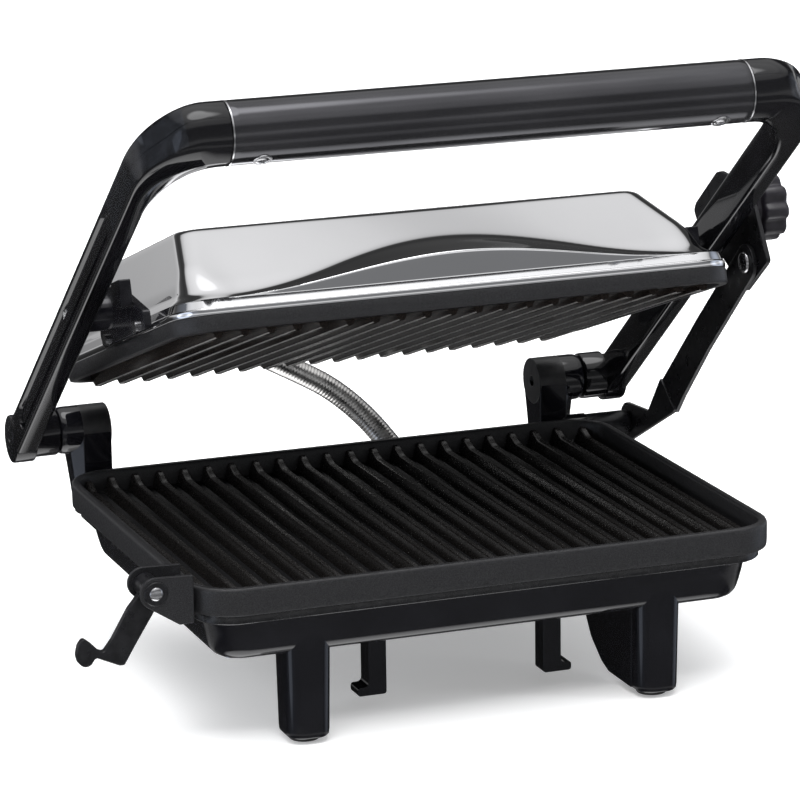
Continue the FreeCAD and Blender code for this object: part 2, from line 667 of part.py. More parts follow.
# lid pivots: shouldered pins through the arms, with a washer on each
pin_length = size("arm_outer") - size("arm_slot_depth") - 131.5
pins = rod(LID_PIVOT + X_AXIS * 131.5, X_AXIS, size("pin_radius"), pin_length)
pin_head = rod(LID_PIVOT + X_AXIS * (131.5 + pin_length), X_AXIS, 4.4, 1.6)
code_part("lid_pivot_pins", both_sides(pins.fuse(pin_head)))

# ---------------------------------------------------------------- lid
LUG_SCREW = 1.6
LUG_SCREW_PLACES = (-48, 2)
LUG_FACE = size("lid_width") / 2


def dome(inset, low):
    """The cover's outer form, or the space inside it, as a loft of rounded rectangles."""
    front, back, top = size("dome_front"), size("dome_back"), size("dome_height")
    width, depth = size("lid_width"), size("lid_depth")
    skirt = size("dome_skirt")
    sections = [(skirt, width - 4, -(depth / 2 - 2), depth / 2 - 2),
                (skirt + 3, width - 12, -(depth / 2 - 9), depth / 2 - 9),
                (top - 6.5, size("dome_top_width") + 8, front - 11, back + 6),
                (top - 2, size("dome_top_width"), front - 3, back + 2),
                (top, size("dome_top_width") - 10, front + 5, back - 6)]
    wires = []
    for height, across, fore, aft in sections:
        wires.append(rounded_wire(across - 2 * inset, aft - fore - 2 * inset, 17 - inset,
                                  height - (inset if height > skirt + 3 else 0), (fore + aft) / 2))
    shell = Part.makeLoft(wires, True, True)
    skirt_slab = rounded_slab(width - 2 * inset, depth - 2 * inset, size("lid_corner") - inset,
                              low, skirt + 0.01)
    arch_half, arch_top = 112 - inset, 25 - inset
    front_face = -depth / 2 + inset + 1
    ends = [Vector(-arch_half, front_face, skirt - 1), Vector(arch_half, front_face, skirt - 1)]
    bow = Part.Arc(ends[0], Vector(0, front_face, arch_top), ends[1]).toShape()
    arch = Part.Face(Part.Wire([bow, Part.makeLine(ends[1], ends[0])])).extrude(Vector(0, 30, 0))
    return skirt_slab.multiFuse([shell, arch])


def lid_cover():
    band = size("band_height")
    cover = dome(0, band).cut(dome(size("dome_wall"), band - 1))
    gland_hole = rod(LID_GLAND_LOCAL - Y_AXIS * 6, Y_AXIS, GLAND_OUTER, 24)
    screw_holes = [rod(Vector(x, y, 10), X_AXIS, LUG_SCREW, 16) for x in (-138, 122)
                   for y in LUG_SCREW_PLACES]
    return cover.cut(Part.makeCompound([gland_hole] + screw_holes))


def lid_lug():
    """A bracket on the side of the lid, with the boss that turns on the arm's pin."""
    pivot = LID_PIVOT_LOCAL
    face = LUG_FACE
    plate = slab([(face, -60, 8), (face, 8, 8), (face, 12, 13), (face, 4, 30), (face, -18, 33),
                  (face, -38, 25), (face, -60, 16)], Vector(3.5, 0, 0))
    length = size("arm_inner") - 0.3 - face
    boss = rod(pivot + X_AXIS * face, X_AXIS, 8, length)
    bore = rod(pivot + X_AXIS * (face - 1), X_AXIS, size("pin_radius") + size("running_gap"), length + 2)
    holes = [rod(Vector(face - 1, y, 10), X_AXIS, LUG_SCREW, 6) for y in LUG_SCREW_PLACES]
    return plate.fuse(boss).cut(Part.makeCompound([bore] + holes))


def lug_screws():
    return [rod(Vector(LUG_FACE + 3.5, y, 10), X_AXIS, 3, 1.4).fuse(
        rod(Vector(LUG_FACE - 4, y, 10), X_AXIS, LUG_SCREW, 7.6)) for y in LUG_SCREW_PLACES]


code_part("lid_cover", lid_cover(), LID_PLACE)
lug = lid_lug()
code_part("right_lid_lug", lug, LID_PLACE)
code_part("left_lid_lug", mirrored(lug), LID_PLACE)
right_screws = lug_screws()
code_part("lid_lug_screws", Part.makeCompound(right_screws + [mirrored(s) for s in right_screws]),
          LID_PLACE)
code_part("upper_thermostat", rod(Vector(30, 10, 7.8), Z_AXIS, 9, 6), LID_PLACE)

# ---------------------------------------------------------------- folding stay and its lock
GAP = size("running_gap")
BAR_REAR = ((34.5, 139.9), (75.6, 100.1))
BAR_FRONT = ((59.1, 87.9), (50.6, 97.9), (22.8, 126.8))
BAR_LOWER = ((76.4, 99.2), (89.3, 81.9), (108, 79), (108, 63), (60.3, 87.2))
FOOT_RADIUS = 9.5
PLATE_CORNERS = ((-37.5, 181.8), (-13.2, 162.3), (41.5, 186), (44.5, 190), (42, 194), (19.5, 212.5),
                 (14.5, 214), (9, 211.5))


def stay_bar():
    """A flat steel strap that widens downwards; below a joggle it lies nearer to the post."""
    x, thick, half = size("bar_inner"), size("bar_thick"), size("bar_half")
    low = x - size("bar_step")
    line = ALONG * half
    side = BELOW * half
    corners = [STAY_TOP + side, STAY_TOP - side] + [Vector(0, y, z) for y, z in BAR_REAR + BAR_FRONT]
    upper = slab([tuple(p + X_AXIS * x) for p in corners], X_AXIS * thick)
    cap = rod(STAY_TOP + X_AXIS * x, X_AXIS, half, thick)
    lap = Vector(0, line.y, line.z).normalize() * 3
    fold = [Vector(0, y, z) + lap for y, z in (BAR_FRONT[0], BAR_REAR[1])]
    lower_points = [Vector(0, y, z) for y, z in BAR_LOWER] + fold
    lower = slab([tuple(p + X_AXIS * low) for p in lower_points], X_AXIS * thick)
    foot = rod(STAY_FOOT + X_AXIS * low, X_AXIS, FOOT_RADIUS, thick)
    bores = [rod(STAY_TOP + X_AXIS * (x - 1), X_AXIS, size("rivet_radius") + 0.3, thick + 2),
             rod(STAY_FOOT + X_AXIS * (low - 1), X_AXIS, size("pin_radius") + GAP, thick + 2)]
    return upper.multiFuse([cap, lower, foot]).cut(Part.makeCompound(bores))


def lock_bracket():
    """The plate that swings on the knob's stud and carries the top of the stay."""
    x, thick = size("plate_inner"), size("plate_thick")
    plate = slab([(x, y, z) for y, z in PLATE_CORNERS], X_AXIS * thick)
    boss = rod(KNOB_PIVOT + X_AXIS * x, X_AXIS, 12, thick)
    bores = [rod(KNOB_PIVOT + X_AXIS * (x - 1), X_AXIS, size("pin_radius") + GAP, thick + 2),
             rod(STAY_TOP + X_AXIS * (x - 1), X_AXIS, size("rivet_radius"), thick + 2)]
    return plate.fuse(boss).cut(Part.makeCompound(bores))


code_part("stay_bar", stay_bar())
code_part("lock_bracket", lock_bracket())
BAR_IN = size("bar_inner")
BAR_LOW = BAR_IN - size("bar_step")
PLATE_OUT = size("plate_inner") + size("plate_thick")
rivet_head = rod(STAY_TOP + X_AXIS * (BAR_IN - 2), X_AXIS, 5, 1.7)
rivet_shank = rod(STAY_TOP + X_AXIS * (BAR_IN - 0.4), X_AXIS, size("rivet_radius"),
                  PLATE_OUT - BAR_IN + 0.4)
code_part("stay_rivet", rivet_head.fuse(rivet_shank))
stud_end = BAR_LOW + size("bar_thick") + 0.3
stud = rod(STAY_FOOT + X_AXIS * (size("post_outer") - 10), X_AXIS, size("pin_radius"),
           stud_end - size("post_outer") + 10)
stud_sleeve = rod(STAY_FOOT + X_AXIS * size("post_outer"), X_AXIS, 6,
                  BAR_LOW - 0.3 - size("post_outer"))
stud_head = rod(STAY_FOOT + X_AXIS * stud_end, X_AXIS, 6, 1.6)
code_part("stay_stud", stud.multiFuse([stud_sleeve, stud_head]))

knob_stud = rod(KNOB_PIVOT + X_AXIS * (size("arm_outer") - 7), X_AXIS, size("pin_radius"), 24)
code_part("knob_stud", knob_stud)
collar_place = ("sizes.arm_outer", str(KNOB_PIVOT.y), str(KNOB_PIVOT.z))
collar_outer = cylinder("knob_collar_outer", "6.5", "sizes.plate_inner - sizes.arm_outer - 0.3",
                        collar_place, X_AXIS)
collar_inner = cylinder("knob_collar_inner", PIN, "sizes.plate_inner - sizes.arm_outer",
                        collar_place, X_AXIS)
cut("knob_collar", collar_outer, collar_inner)


def lock_knob():
    """A fluted hand knob with a blind bore for the stud."""
    body = doc.addObject("PartDesign::Body", "lock_knob")
    rim = new_sketch(body, "knob_rim", "YZ_Plane", "sizes.knob_inner")
    rim.addGeometry(Part.Circle(Vector(0, 0, 0), Z_AXIS, size("knob_radius")))
    rim.addConstraint(Sketcher.Constraint("Coincident", 0, 3, -1, 1))
    bind(rim, [("radius", ("Radius", 0), "sizes.knob_radius")])
    pad(body, rim, "sizes.knob_length")
    doc.recompute()
    flute = new_sketch(body, "knob_flute", "YZ_Plane", "sizes.knob_inner + sizes.knob_length")
    flute.addGeometry(Part.Circle(Vector(size("knob_radius") + 3.4, 0, 0), Z_AXIS, 5))
    flute.addConstraint(Sketcher.Constraint("PointOnObject", 0, 3, -1))
    bind(flute, [("radius", ("Radius", 0), "5"),
                 ("reach", ("DistanceX", -1, 1, 0, 3), "sizes.knob_radius + 3.4")])
    flutes = pocket(body, flute, "sizes.knob_length")
    pattern = body.newObject("PartDesign::PolarPattern", "knob_flutes")
    pattern.Originals = [flutes]
    pattern.Axis = (flute, ["N_Axis"])
    pattern.Angle = 360
    pattern.setExpression("Occurrences", "sizes.knob_flutes")
    body.Tip = pattern
    doc.recompute()
    bore = new_sketch(body, "knob_bore", "YZ_Plane", "sizes.knob_inner")
    bore.addGeometry(Part.Circle(Vector(0, 0, 0), Z_AXIS, size("pin_radius") + GAP))
    bore.addConstraint(Sketcher.Constraint("Coincident", 0, 3, -1, 1))
    bind(bore, [("radius", ("Radius", 0), "sizes.pin_radius + sizes.running_gap")])
    pocket(body, bore, "sizes.knob_length - 1.7", reverse=True)
    return fasten_body(body, "lock_knob", Placement(KNOB_PIVOT, Rotation()))


lock_knob()

# ---------------------------------------------------------------- latch
LATCH = Vector(size("latch_across"), 0, size("latch_up"))
EAR = size("ear_thick")


def latch_bracket():
    """Two ears on a flange that is fixed to the side of the grill plate."""
    front, back = size("latch_front"), size("latch_back")
    wall = -size("rim_width") / 2
    x, z = LATCH.x, LATCH.z
    ear_points = [(wall - 1, z + 6), (wall - 1, z - 14), (wall - 7, z - 15), (x - 5.5, z - 4.3),
                  (x - 4, z + 6)]
    ears = []
    for start in (front, back - EAR):
        ear = slab([(px, start, pz) for px, pz in ear_points], Vector(0, EAR, 0))
        ears.append(ear.fuse(rod(Vector(x, start, z), Y_AXIS, 7, EAR)))
    flange = block((wall - 2.4, front, z - 14), (wall - 0.1, back, z + 2))
    bores = rod(Vector(x, front - 1, z), Y_AXIS, 2, back - front + 2)
    return flange.multiFuse(ears).cut(bores)


HOOK = ((-5, -2), (5, -2), (3.7, -6.6), (0.8, -11.4), (-7.2, -24), (-12.3, -32.5), (-14.5, -32.4),
        (-24.9, -27.7), (-27.1, -31), (-30, -31.5), (-32.6, -29.4), (-33.4, -25.6), (-32.4, -21.4),
        (-30.1, -18.4), (-26.5, -21.4), (-23.4, -24.7), (-21.2, -25.5), (-17.3, -20.5), (-9.9, -7.9))


def latch_hook():
    """A claw that hangs from the pin: a bent arm, a cross bar and a finger tab."""
    middle = (size("latch_front") + size("latch_back")) / 2
    thick = 4
    start = middle - thick / 2
    arm = slab([(LATCH.x + dx, start, LATCH.z + dz) for dx, dz in HOOK], Vector(0, thick, 0))
    barrel = rod(Vector(LATCH.x, size("latch_front") + EAR + 0.4, LATCH.z), Y_AXIS, 5,
                 size("latch_back") - size("latch_front") - 2 * EAR - 0.8)
    bore = rod(Vector(LATCH.x, size("latch_front"), LATCH.z), Y_AXIS, 2 + GAP, 20)
    return arm.fuse(barrel).cut(bore)


code_part("latch_bracket", latch_bracket())
code_part("latch_hook", latch_hook())
pin = rod(Vector(LATCH.x, size("latch_front") - 1.4, LATCH.z), Y_AXIS, 2,
          size("latch_back") - size("latch_front") + 2.4)
pin_heads = [rod(Vector(LATCH.x, size("latch_front") - 1.6, LATCH.z), Y_AXIS, 3.6, 1.6),
             rod(Vector(LATCH.x, size("latch_back"), LATCH.z), Y_AXIS, 3, 1)]
code_part("latch_pin", pin.multiFuse(pin_heads))

# ---------------------------------------------------------------- check and write
doc.recompute()
for item in doc.Objects:
    if "Invalid" in item.State or "Error" in item.State:
        raise RuntimeError("%s: %s" % (item.Label, item.getStatusString()))
for part in PARTS:
    if part.Shape.isNull() or not part.Shape.isValid() or part.Shape.Volume <= 0:
        raise RuntimeError(part.Label + " has no valid solid")

os.makedirs("parts", exist_ok=True)
total = FreeCAD.BoundBox()
for part in PARTS:
    part.Shape.exportStep("parts/%s.step" % part.Label)
    total.add(part.Shape.BoundBox)
    print("%-22s %d solids %9.0f mm3" % (part.Label, len(part.Shape.Solids), part.Shape.Volume))
print("%d parts, box %s" % (len(PARTS), total))
print("lid pivot in the lid", LID_PIVOT_LOCAL, "stay", STAY_TOP, STAY_FOOT, "knob", KNOB_PIVOT)
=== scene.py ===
"""Panini press: the looks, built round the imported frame. Sizes in the code are millimetres."""
import json
import math

import bmesh
import bpy
from mathutils import Matrix, Vector


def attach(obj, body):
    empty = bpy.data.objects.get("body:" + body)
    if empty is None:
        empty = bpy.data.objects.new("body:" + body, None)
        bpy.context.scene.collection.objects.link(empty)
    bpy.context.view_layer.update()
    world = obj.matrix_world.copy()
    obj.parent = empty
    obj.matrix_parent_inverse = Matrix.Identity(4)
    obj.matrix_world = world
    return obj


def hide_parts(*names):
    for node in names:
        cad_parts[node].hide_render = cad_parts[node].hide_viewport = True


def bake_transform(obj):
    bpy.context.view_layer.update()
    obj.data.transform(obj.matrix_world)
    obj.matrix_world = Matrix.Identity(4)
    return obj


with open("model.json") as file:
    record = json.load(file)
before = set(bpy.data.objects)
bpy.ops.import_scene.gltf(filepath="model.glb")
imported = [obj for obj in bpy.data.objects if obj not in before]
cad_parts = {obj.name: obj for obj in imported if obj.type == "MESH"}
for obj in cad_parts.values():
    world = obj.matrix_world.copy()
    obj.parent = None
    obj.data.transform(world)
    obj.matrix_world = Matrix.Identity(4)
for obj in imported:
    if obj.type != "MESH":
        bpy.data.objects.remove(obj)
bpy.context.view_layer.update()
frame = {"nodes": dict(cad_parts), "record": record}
MM = 0.001

# ---------------------------------------------------------------- camera
AZIMUTH, ELEVATION, ROLL = math.radians(20.29), math.radians(14.26), math.radians(-0.83)
view = Vector((math.sin(AZIMUTH) * math.cos(ELEVATION), math.cos(AZIMUTH) * math.cos(ELEVATION),
               -math.sin(ELEVATION)))
level = Vector((math.cos(AZIMUTH), -math.sin(AZIMUTH), 0))
rise = level.cross(view)
right = level * math.cos(ROLL) + rise * math.sin(ROLL)
up = rise * math.cos(ROLL) - level * math.sin(ROLL)
camera = bpy.data.objects.new("camera", bpy.data.cameras.new("camera"))
bpy.context.scene.collection.objects.link(camera)
turn = Matrix((right, up, -view)).transposed().to_4x4()
camera.matrix_world = Matrix.Translation(Vector((-643.5, -1726.3, 592.4)) * MM) @ turn
camera.data.sensor_width = 36
camera.data.lens = 188.78
camera.data.clip_end = 50
bpy.context.scene.camera = camera

# ---------------------------------------------------------------- places shared with the frame
HINGE = Vector((0, 122.3, 94.15))
SLANT = math.radians(38.9)
ALONG = Vector((0, -math.cos(SLANT), math.sin(SLANT)))
BELOW = Vector((0, -math.sin(SLANT), -math.cos(SLANT)))
X, Y, Z = Vector((1, 0, 0)), Vector((0, 1, 0)), Vector((0, 0, 1))
LID = Matrix.Translation((0, 24.04, 149.47)) @ Matrix.Rotation(-math.radians(18.95), 4, "X")


def on_arm(along, below=0.0, across=0.0):
    """A place: distance up the line from hinge to grip, distance below that line, and across."""
    return HINGE + ALONG * along + BELOW * below + X * across


# The arm's faces and section, its slot, the rim of the base and the hinge barrel's radius
ARM_IN, ARM_OUT, ARM_HALF, ARM_SHIFT = 145, 155, 8.8, 2.6
SLOT_LOW, SLOT_TAPER, SLOT_TIP, SLOT_HALF = 26, 213, 226, 5.8
RIM_HALF, RIM_DEEP = 136, 105.75
BARREL = 11.3
LID_PIVOT = on_arm(124)
KNOB = on_arm(169.5)
GRIP = on_arm(285)
STAY_OFFSET = Vector((0, -9, -23.2))
STAY_TOP, STAY_FOOT = KNOB + STAY_OFFSET, HINGE + STAY_OFFSET


# ---------------------------------------------------------------- materials
class Nodes:
    """Short hand for building one node material."""

    def __init__(self, name):
        self.material = bpy.data.materials.new(name)
        self.material.use_nodes = True
        self.tree = self.material.node_tree
        self.shader = self.tree.nodes["Principled BSDF"]
        place = self.add("ShaderNodeTexCoord")
        self.place = place.outputs["Object"]

    def add(self, kind, **inputs):
        node = self.tree.nodes.new(kind)
        for key, value in inputs.items():
            node.inputs[key.replace("_", " ")].default_value = value
        return node

    def link(self, start, end):
        self.tree.links.new(start, end)

    def noise(self, scale, detail=3.0, stretch=(1, 1, 1)):
        spread = self.add("ShaderNodeMapping")
        spread.inputs["Scale"].default_value = stretch
        self.link(self.place, spread.inputs["Vector"])
        node = self.add("ShaderNodeTexNoise", Scale=scale, Detail=detail)
        self.link(spread.outputs["Vector"], node.inputs["Vector"])
        return node.outputs["Fac"]

    def between(self, factor, low, high, start=0.35, end=0.65):
        """Colours or greys between two values, led by a factor."""
        ramp = self.add("ShaderNodeValToRGB")
        ramp.color_ramp.elements[0].position, ramp.color_ramp.elements[1].position = start, end
        for element, level in zip(ramp.color_ramp.elements, (low, high)):
            colour = (level,) * 3 if isinstance(level, (int, float)) else level
            element.color = (*colour, 1)
        self.link(factor, ramp.inputs["Fac"])
        return ramp.outputs["Color"]

    def bump(self, height, strength, distance):
        node = self.add("ShaderNodeBump", Strength=strength, Distance=distance)
        if self.shader.inputs["Normal"].links:
            self.link(self.shader.inputs["Normal"].links[0].from_socket, node.inputs["Normal"])
        self.link(height, node.inputs["Height"])
        self.link(node.outputs["Normal"], self.shader.inputs["Normal"])

    def set(self, **values):
        for key, value in values.items():
            self.shader.inputs[key.replace("_", " ")].default_value = value
        return self.material


def surface(name, dark, light, rough, grain, colour_scale=60, stretch=(1, 1, 1), grain_scale=900,
            grain_depth=0.00004, **values):
    """A material with a mottled colour, an uneven gloss and a fine grain."""
    made = Nodes(name)
    made.link(made.between(made.noise(colour_scale, 4, stretch), dark, light),
              made.shader.inputs["Base Color"])
    made.link(made.between(made.noise(colour_scale * 0.7, 5, stretch), rough[0], rough[1]),
              made.shader.inputs["Roughness"])
    if grain:
        made.bump(made.noise(grain_scale, 2, stretch), grain, grain_depth)
    return made.set(**values)


MATERIALS = {
    "housing": surface("piano_black", (0.0025, 0.0025, 0.0035), (0.005, 0.005, 0.0065), (0.04, 0.09), 0.015,
                       colour_scale=30, grain_scale=60, IOR=1.5),
    "arm": surface("arm_black", (0.0025, 0.0025, 0.003), (0.005, 0.005, 0.006), (0.035, 0.08), 0.015,
                   colour_scale=30, grain_scale=60, IOR=1.45),
    "facet": surface("arm_facet", (0.016, 0.0168, 0.019), (0.026, 0.0275, 0.032), (0.08, 0.13), 0.0,
                     colour_scale=50, stretch=(1, 4, 4), Metallic=0.6),
    "grip": surface("grip_gunmetal", (0.05, 0.05, 0.054), (0.075, 0.075, 0.08), (0.1, 0.15), 0.02,
                    colour_scale=90, stretch=(0.12, 1, 1), Metallic=0.85),
    # painted highlight: a light grey on the narrow faces along each rib's crest edges, standing in for
    # glints
    "rib_crest_painted_glint": surface("rib_crest_painted_glint", (0.1, 0.097, 0.094), (0.24, 0.235, 0.23), (0.3, 0.42), 0.1,
                        colour_scale=900, Metallic=0.2),
    "grill": surface("cast_plate", (0.008, 0.008, 0.009), (0.03, 0.03, 0.032), (0.34, 0.5), 0.5,
                     colour_scale=2400, grain_scale=3600, grain_depth=0.00005, Metallic=0.3),
    "ribs": surface("plate_ribs", (0.006, 0.0055, 0.0055), (0.017, 0.015, 0.014), (0.2, 0.36), 0.25,
                    colour_scale=1500, grain_scale=4000, grain_depth=0.00003, Metallic=0.3),
    "under": surface("upper_ribs", (0.004, 0.0031, 0.0027), (0.011, 0.008, 0.0065), (0.1, 0.17), 0.08,
                     colour_scale=1500, grain_scale=4000, grain_depth=0.00002, IOR=1.3),
    "collar": surface("collar_black", (0.004, 0.004, 0.005), (0.009, 0.009, 0.01), (0.2, 0.32), 0.2,
                      colour_scale=300, grain_scale=2500, grain_depth=0.00002),
    "lid_shell": surface("polished_steel", (0.86, 0.86, 0.87), (0.92, 0.92, 0.93), (0.03, 0.06), 0.0,
                         colour_scale=8, Metallic=1.0),
    "lug": surface("lug_black", (0.006, 0.006, 0.008), (0.014, 0.014, 0.017), (0.12, 0.22), 0.06,
                   colour_scale=200, grain_scale=2500, grain_depth=0.00002, Metallic=0.3),
    "steel": surface("bright_steel", (0.42, 0.42, 0.43), (0.58, 0.58, 0.59), (0.18, 0.3), 0.05,
                     colour_scale=200, Metallic=1.0),
    "conduit": surface("sleeve_steel", (0.5, 0.49, 0.48), (0.68, 0.67, 0.65), (0.24, 0.34), 0.03,
                       colour_scale=300, Metallic=1.0),
    "black_steel": surface("satin_black", (0.006, 0.006, 0.007), (0.013, 0.013, 0.015), (0.26, 0.38), 0.12,
                           colour_scale=300, grain_scale=2500, grain_depth=0.00002, Metallic=0.3),
    "bracket": surface("speckled_grey", (0.008, 0.008, 0.009), (0.035, 0.035, 0.038), (0.34, 0.5), 0.4,
                       colour_scale=2600, grain_scale=3600, grain_depth=0.00004, Metallic=0.4),
    "knob": surface("knob_black", (0.008, 0.007, 0.01), (0.016, 0.014, 0.019), (0.36, 0.5), 0.2,
                    colour_scale=300, grain_scale=2500, grain_depth=0.00002),
    "rubber": surface("rubber", (0.012, 0.012, 0.012), (0.026, 0.026, 0.026), (0.7, 0.85), 0.4),
    "bush": surface("bush_black", (0.006, 0.006, 0.007), (0.013, 0.013, 0.014), (0.38, 0.5), 0.2,
                    colour_scale=300, grain_scale=2500, grain_depth=0.00002),
    "heater": surface("heater_tube", (0.16, 0.14, 0.12), (0.3, 0.28, 0.26), (0.4, 0.55), 0.2, Metallic=0.8),
    "reflector": surface("reflector_sheet", (0.6, 0.6, 0.6), (0.72, 0.72, 0.73), (0.2, 0.3), 0.1,
                         Metallic=1.0),
    "thermostat": surface("thermostat_brass", (0.5, 0.38, 0.16), (0.62, 0.48, 0.24), (0.3, 0.4), 0.1,
                          Metallic=1.0),
    "ceramic": surface("terminal_ceramic", (0.72, 0.7, 0.64), (0.82, 0.8, 0.75), (0.4, 0.5), 0.2),
}

for entry in frame["record"]["subparts"]:
    node = frame["nodes"][entry["node"]]
    node.data.materials.clear()
    node.data.materials.append(MATERIALS[entry["material_slot"]])


# ---------------------------------------------------------------- mesh building
class Shape:
    """Points in millimetres and faces that end up as one piece."""

    def __init__(self):
        self.points, self.faces, self.kinds = [], [], []

    def add(self, points, faces, kind=0, transform=None):
        first = len(self.points)
        self.points += [tuple(transform @ Vector(p)) if transform else tuple(p) for p in points]
        kinds = kind if isinstance(kind, list) else [kind] * len(faces)
        for face, slot in zip(faces, kinds):
            self.faces.append([first + i for i in face])
            self.kinds.append(slot)

    def loft(self, rings, caps=(True, True), kind=0, transform=None):
        """Quads between rings of equally many points; kind may be a function of ring and point."""
        count = len(rings[0])
        points = [p for ring in rings for p in ring]
        faces, kinds = [], []
        for level in range(len(rings) - 1):
            for i in range(count):
                j = (i + 1) % count
                faces.append([level * count + i, level * count + j,
                              (level + 1) * count + j, (level + 1) * count + i])
                kinds.append(kind(level, i) if callable(kind) else kind)
        base = (len(rings) - 1) * count
        if caps[0]:
            faces.append(list(range(count - 1, -1, -1)))
            kinds.append(kind(0, 0) if callable(kind) else kind)
        if caps[1]:
            faces.append([base + i for i in range(count)])
            kinds.append(kind(0, 0) if callable(kind) else kind)
        self.add(points, faces, kinds, transform)

    def lathe(self, profile, start, axis, segments=40, kind=0, transform=None):
        """A turned form; the profile is pairs of distance along the axis and radius."""
        side = axis.orthogonal().normalized()
        other = axis.cross(side).normalized()
        rings = []
        for along, radius in profile:
            centre = Vector(start) + axis * along
            rings.append([centre + (side * math.cos(a) + other * math.sin(a)) * max(radius, 0.01)
                          for a in (2 * math.pi * i / segments for i in range(segments))])
        self.loft(rings, (True, True), kind, transform)

    def prism(self, outline, direction, kind=0, transform=None):
        top = [Vector(p) + direction for p in outline]
        self.loft([[Vector(p) for p in outline], top], (True, True), kind, transform)

    def piece(self, name, body, slot, materials=None, replaces=(), bevel=0.0, angle=32, segments=2,
              merge=0.0005, ride=True):
        mesh = bpy.data.meshes.new(name)
        mesh.from_pydata([Vector(p) * MM for p in self.points], [], self.faces)
        for name_of in materials or [slot]:
            mesh.materials.append(MATERIALS[name_of])
        mesh.polygons.foreach_set("material_index", self.kinds)
        work = bmesh.new()
        work.from_mesh(mesh)
        bmesh.ops.remove_doubles(work, verts=work.verts, dist=merge * MM)
        bmesh.ops.dissolve_degenerate(work, edges=work.edges, dist=1e-7)
        bmesh.ops.recalc_face_normals(work, faces=work.faces)
        work.to_mesh(mesh)
        work.free()
        mesh.shade_smooth()
        mesh.set_sharp_from_angle(angle=math.radians(angle))
        made = bpy.data.objects.new(name, mesh)
        bpy.context.scene.collection.objects.link(made)
        if bevel:
            edge = made.modifiers.new("edges", "BEVEL")
            edge.width, edge.segments = bevel * MM, segments
            edge.limit_method, edge.angle_limit = "ANGLE", math.radians(32)
            edge.harden_normals = True
        if replaces:
            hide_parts(*replaces)
        if ride:
            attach(made, body)
        return made


def arc(centre, radius, start, end, steps):
    return [(centre[0] + radius * math.cos(math.radians(start + (end - start) * i / steps)),
             centre[1] + radius * math.sin(math.radians(start + (end - start) * i / steps)))
            for i in range(steps + 1)]


def rect_ring(half, front, back, radius, height, corner=8, along=40, deep=24):
    """A rounded rectangle from the front left corner round; height is a number or a function of x, y."""
    radius = max(radius, 0.02)
    points = []
    inner, low, high = half - radius, front + radius, back - radius
    for i in range(along):
        points.append((-inner + 2 * inner * i / along, front))
    points += arc((inner, low), radius, -90, 0, corner)[:-1]
    for i in range(deep):
        points.append((half, low + (high - low) * i / deep))
    points += arc((inner, high), radius, 0, 90, corner)[:-1]
    for i in range(along):
        points.append((inner - 2 * inner * i / along, back))
    points += arc((-inner, high), radius, 90, 180, corner)[:-1]
    for i in range(deep):
        points.append((-half, high - (high - low) * i / deep))
    points += arc((-inner, low), radius, 180, 270, corner)[:-1]
    lift = height if callable(height) else (lambda x, y: height)
    return [(x, y, lift(x, y)) for x, y in points]


def rounded(points, radius, steps=5):
    """A polygon with its corners rounded; radius is a number or one number for each corner."""
    made = []
    radii = radius if isinstance(radius, (list, tuple)) else [radius] * len(points)
    for index, point in enumerate(points):
        here = Vector(point)
        back = Vector(points[index - 1]) - here
        ahead = Vector(points[(index + 1) % len(points)]) - here
        turn = back.angle(ahead) / 2
        trim = min(radii[index] / math.tan(turn), 0.48 * back.length, 0.48 * ahead.length)
        if trim < 0.01:
            made.append(tuple(here))
            continue
        first, last = here + back.normalized() * trim, here + ahead.normalized() * trim
        for step in range(steps + 1):
            t = step / steps
            made.append(tuple(first * (1 - t) ** 2 + here * 2 * t * (1 - t) + last * t ** 2))
    return made


def hull(points):
    points = sorted(set((round(a, 4), round(b, 4)) for a, b in points))

    def half(run):
        made = []
        for p in run:
            while len(made) > 1 and ((made[-1][0] - made[-2][0]) * (p[1] - made[-2][1])
                                     - (made[-1][1] - made[-2][1]) * (p[0] - made[-2][0])) <= 0:
                made.pop()
            made.append(p)
        return made[:-1]

    return half(points) + half(points[::-1])


def yz(outline, x):
    return [(x, p[0], p[1]) for p in outline]


def xz(outline, y):
    return [(p[0], y, p[1]) for p in outline]


def flip(point):
    return (-point[0], point[1], point[2])


def smooth(value, low, high):
    t = min(max((value - low) / (high - low), 0), 1)
    return t * t * (3 - 2 * t)


def screw_head(shape, place, axis, radius, height, rings=14, segments=40):
    """A domed head with a cross recess."""
    side = axis.orthogonal().normalized()
    other = axis.cross(side).normalized()
    loops = [[Vector(place) + (side * math.cos(a) + other * math.sin(a)) * radius
              for a in (2 * math.pi * i / segments for i in range(segments))]]
    for ring in range(rings, -1, -1):
        r = radius * ring / rings
        loop = []
        for i in range(segments):
            a = 2 * math.pi * i / segments
            u, v = r * math.cos(a), r * math.sin(a)
            lift = height * (1 - 0.45 * (r / radius) ** 4)
            arm = radius * 0.5
            width = radius * 0.13
            inside = max((1 - smooth(abs(u), width, width * 1.5)) * (1 - smooth(abs(v), arm, arm * 1.15)),
                         (1 - smooth(abs(v), width, width * 1.5)) * (1 - smooth(abs(u), arm, arm * 1.15)))
            lift -= 0.6 * height * inside
            loop.append(Vector(place) + side * u + other * v + axis * lift)
        loops.append(loop)
    shape.loft(loops)


# ---------------------------------------------------------------- grill plates
def plate_rings(half, front, back, corner, profile, long_side=40):
    """Outlines of a plate or tub; the profile is pairs of inset and height."""
    return [rect_ring(half - i, front + i, back - i, corner - i, z, along=long_side) for i, z in profile]


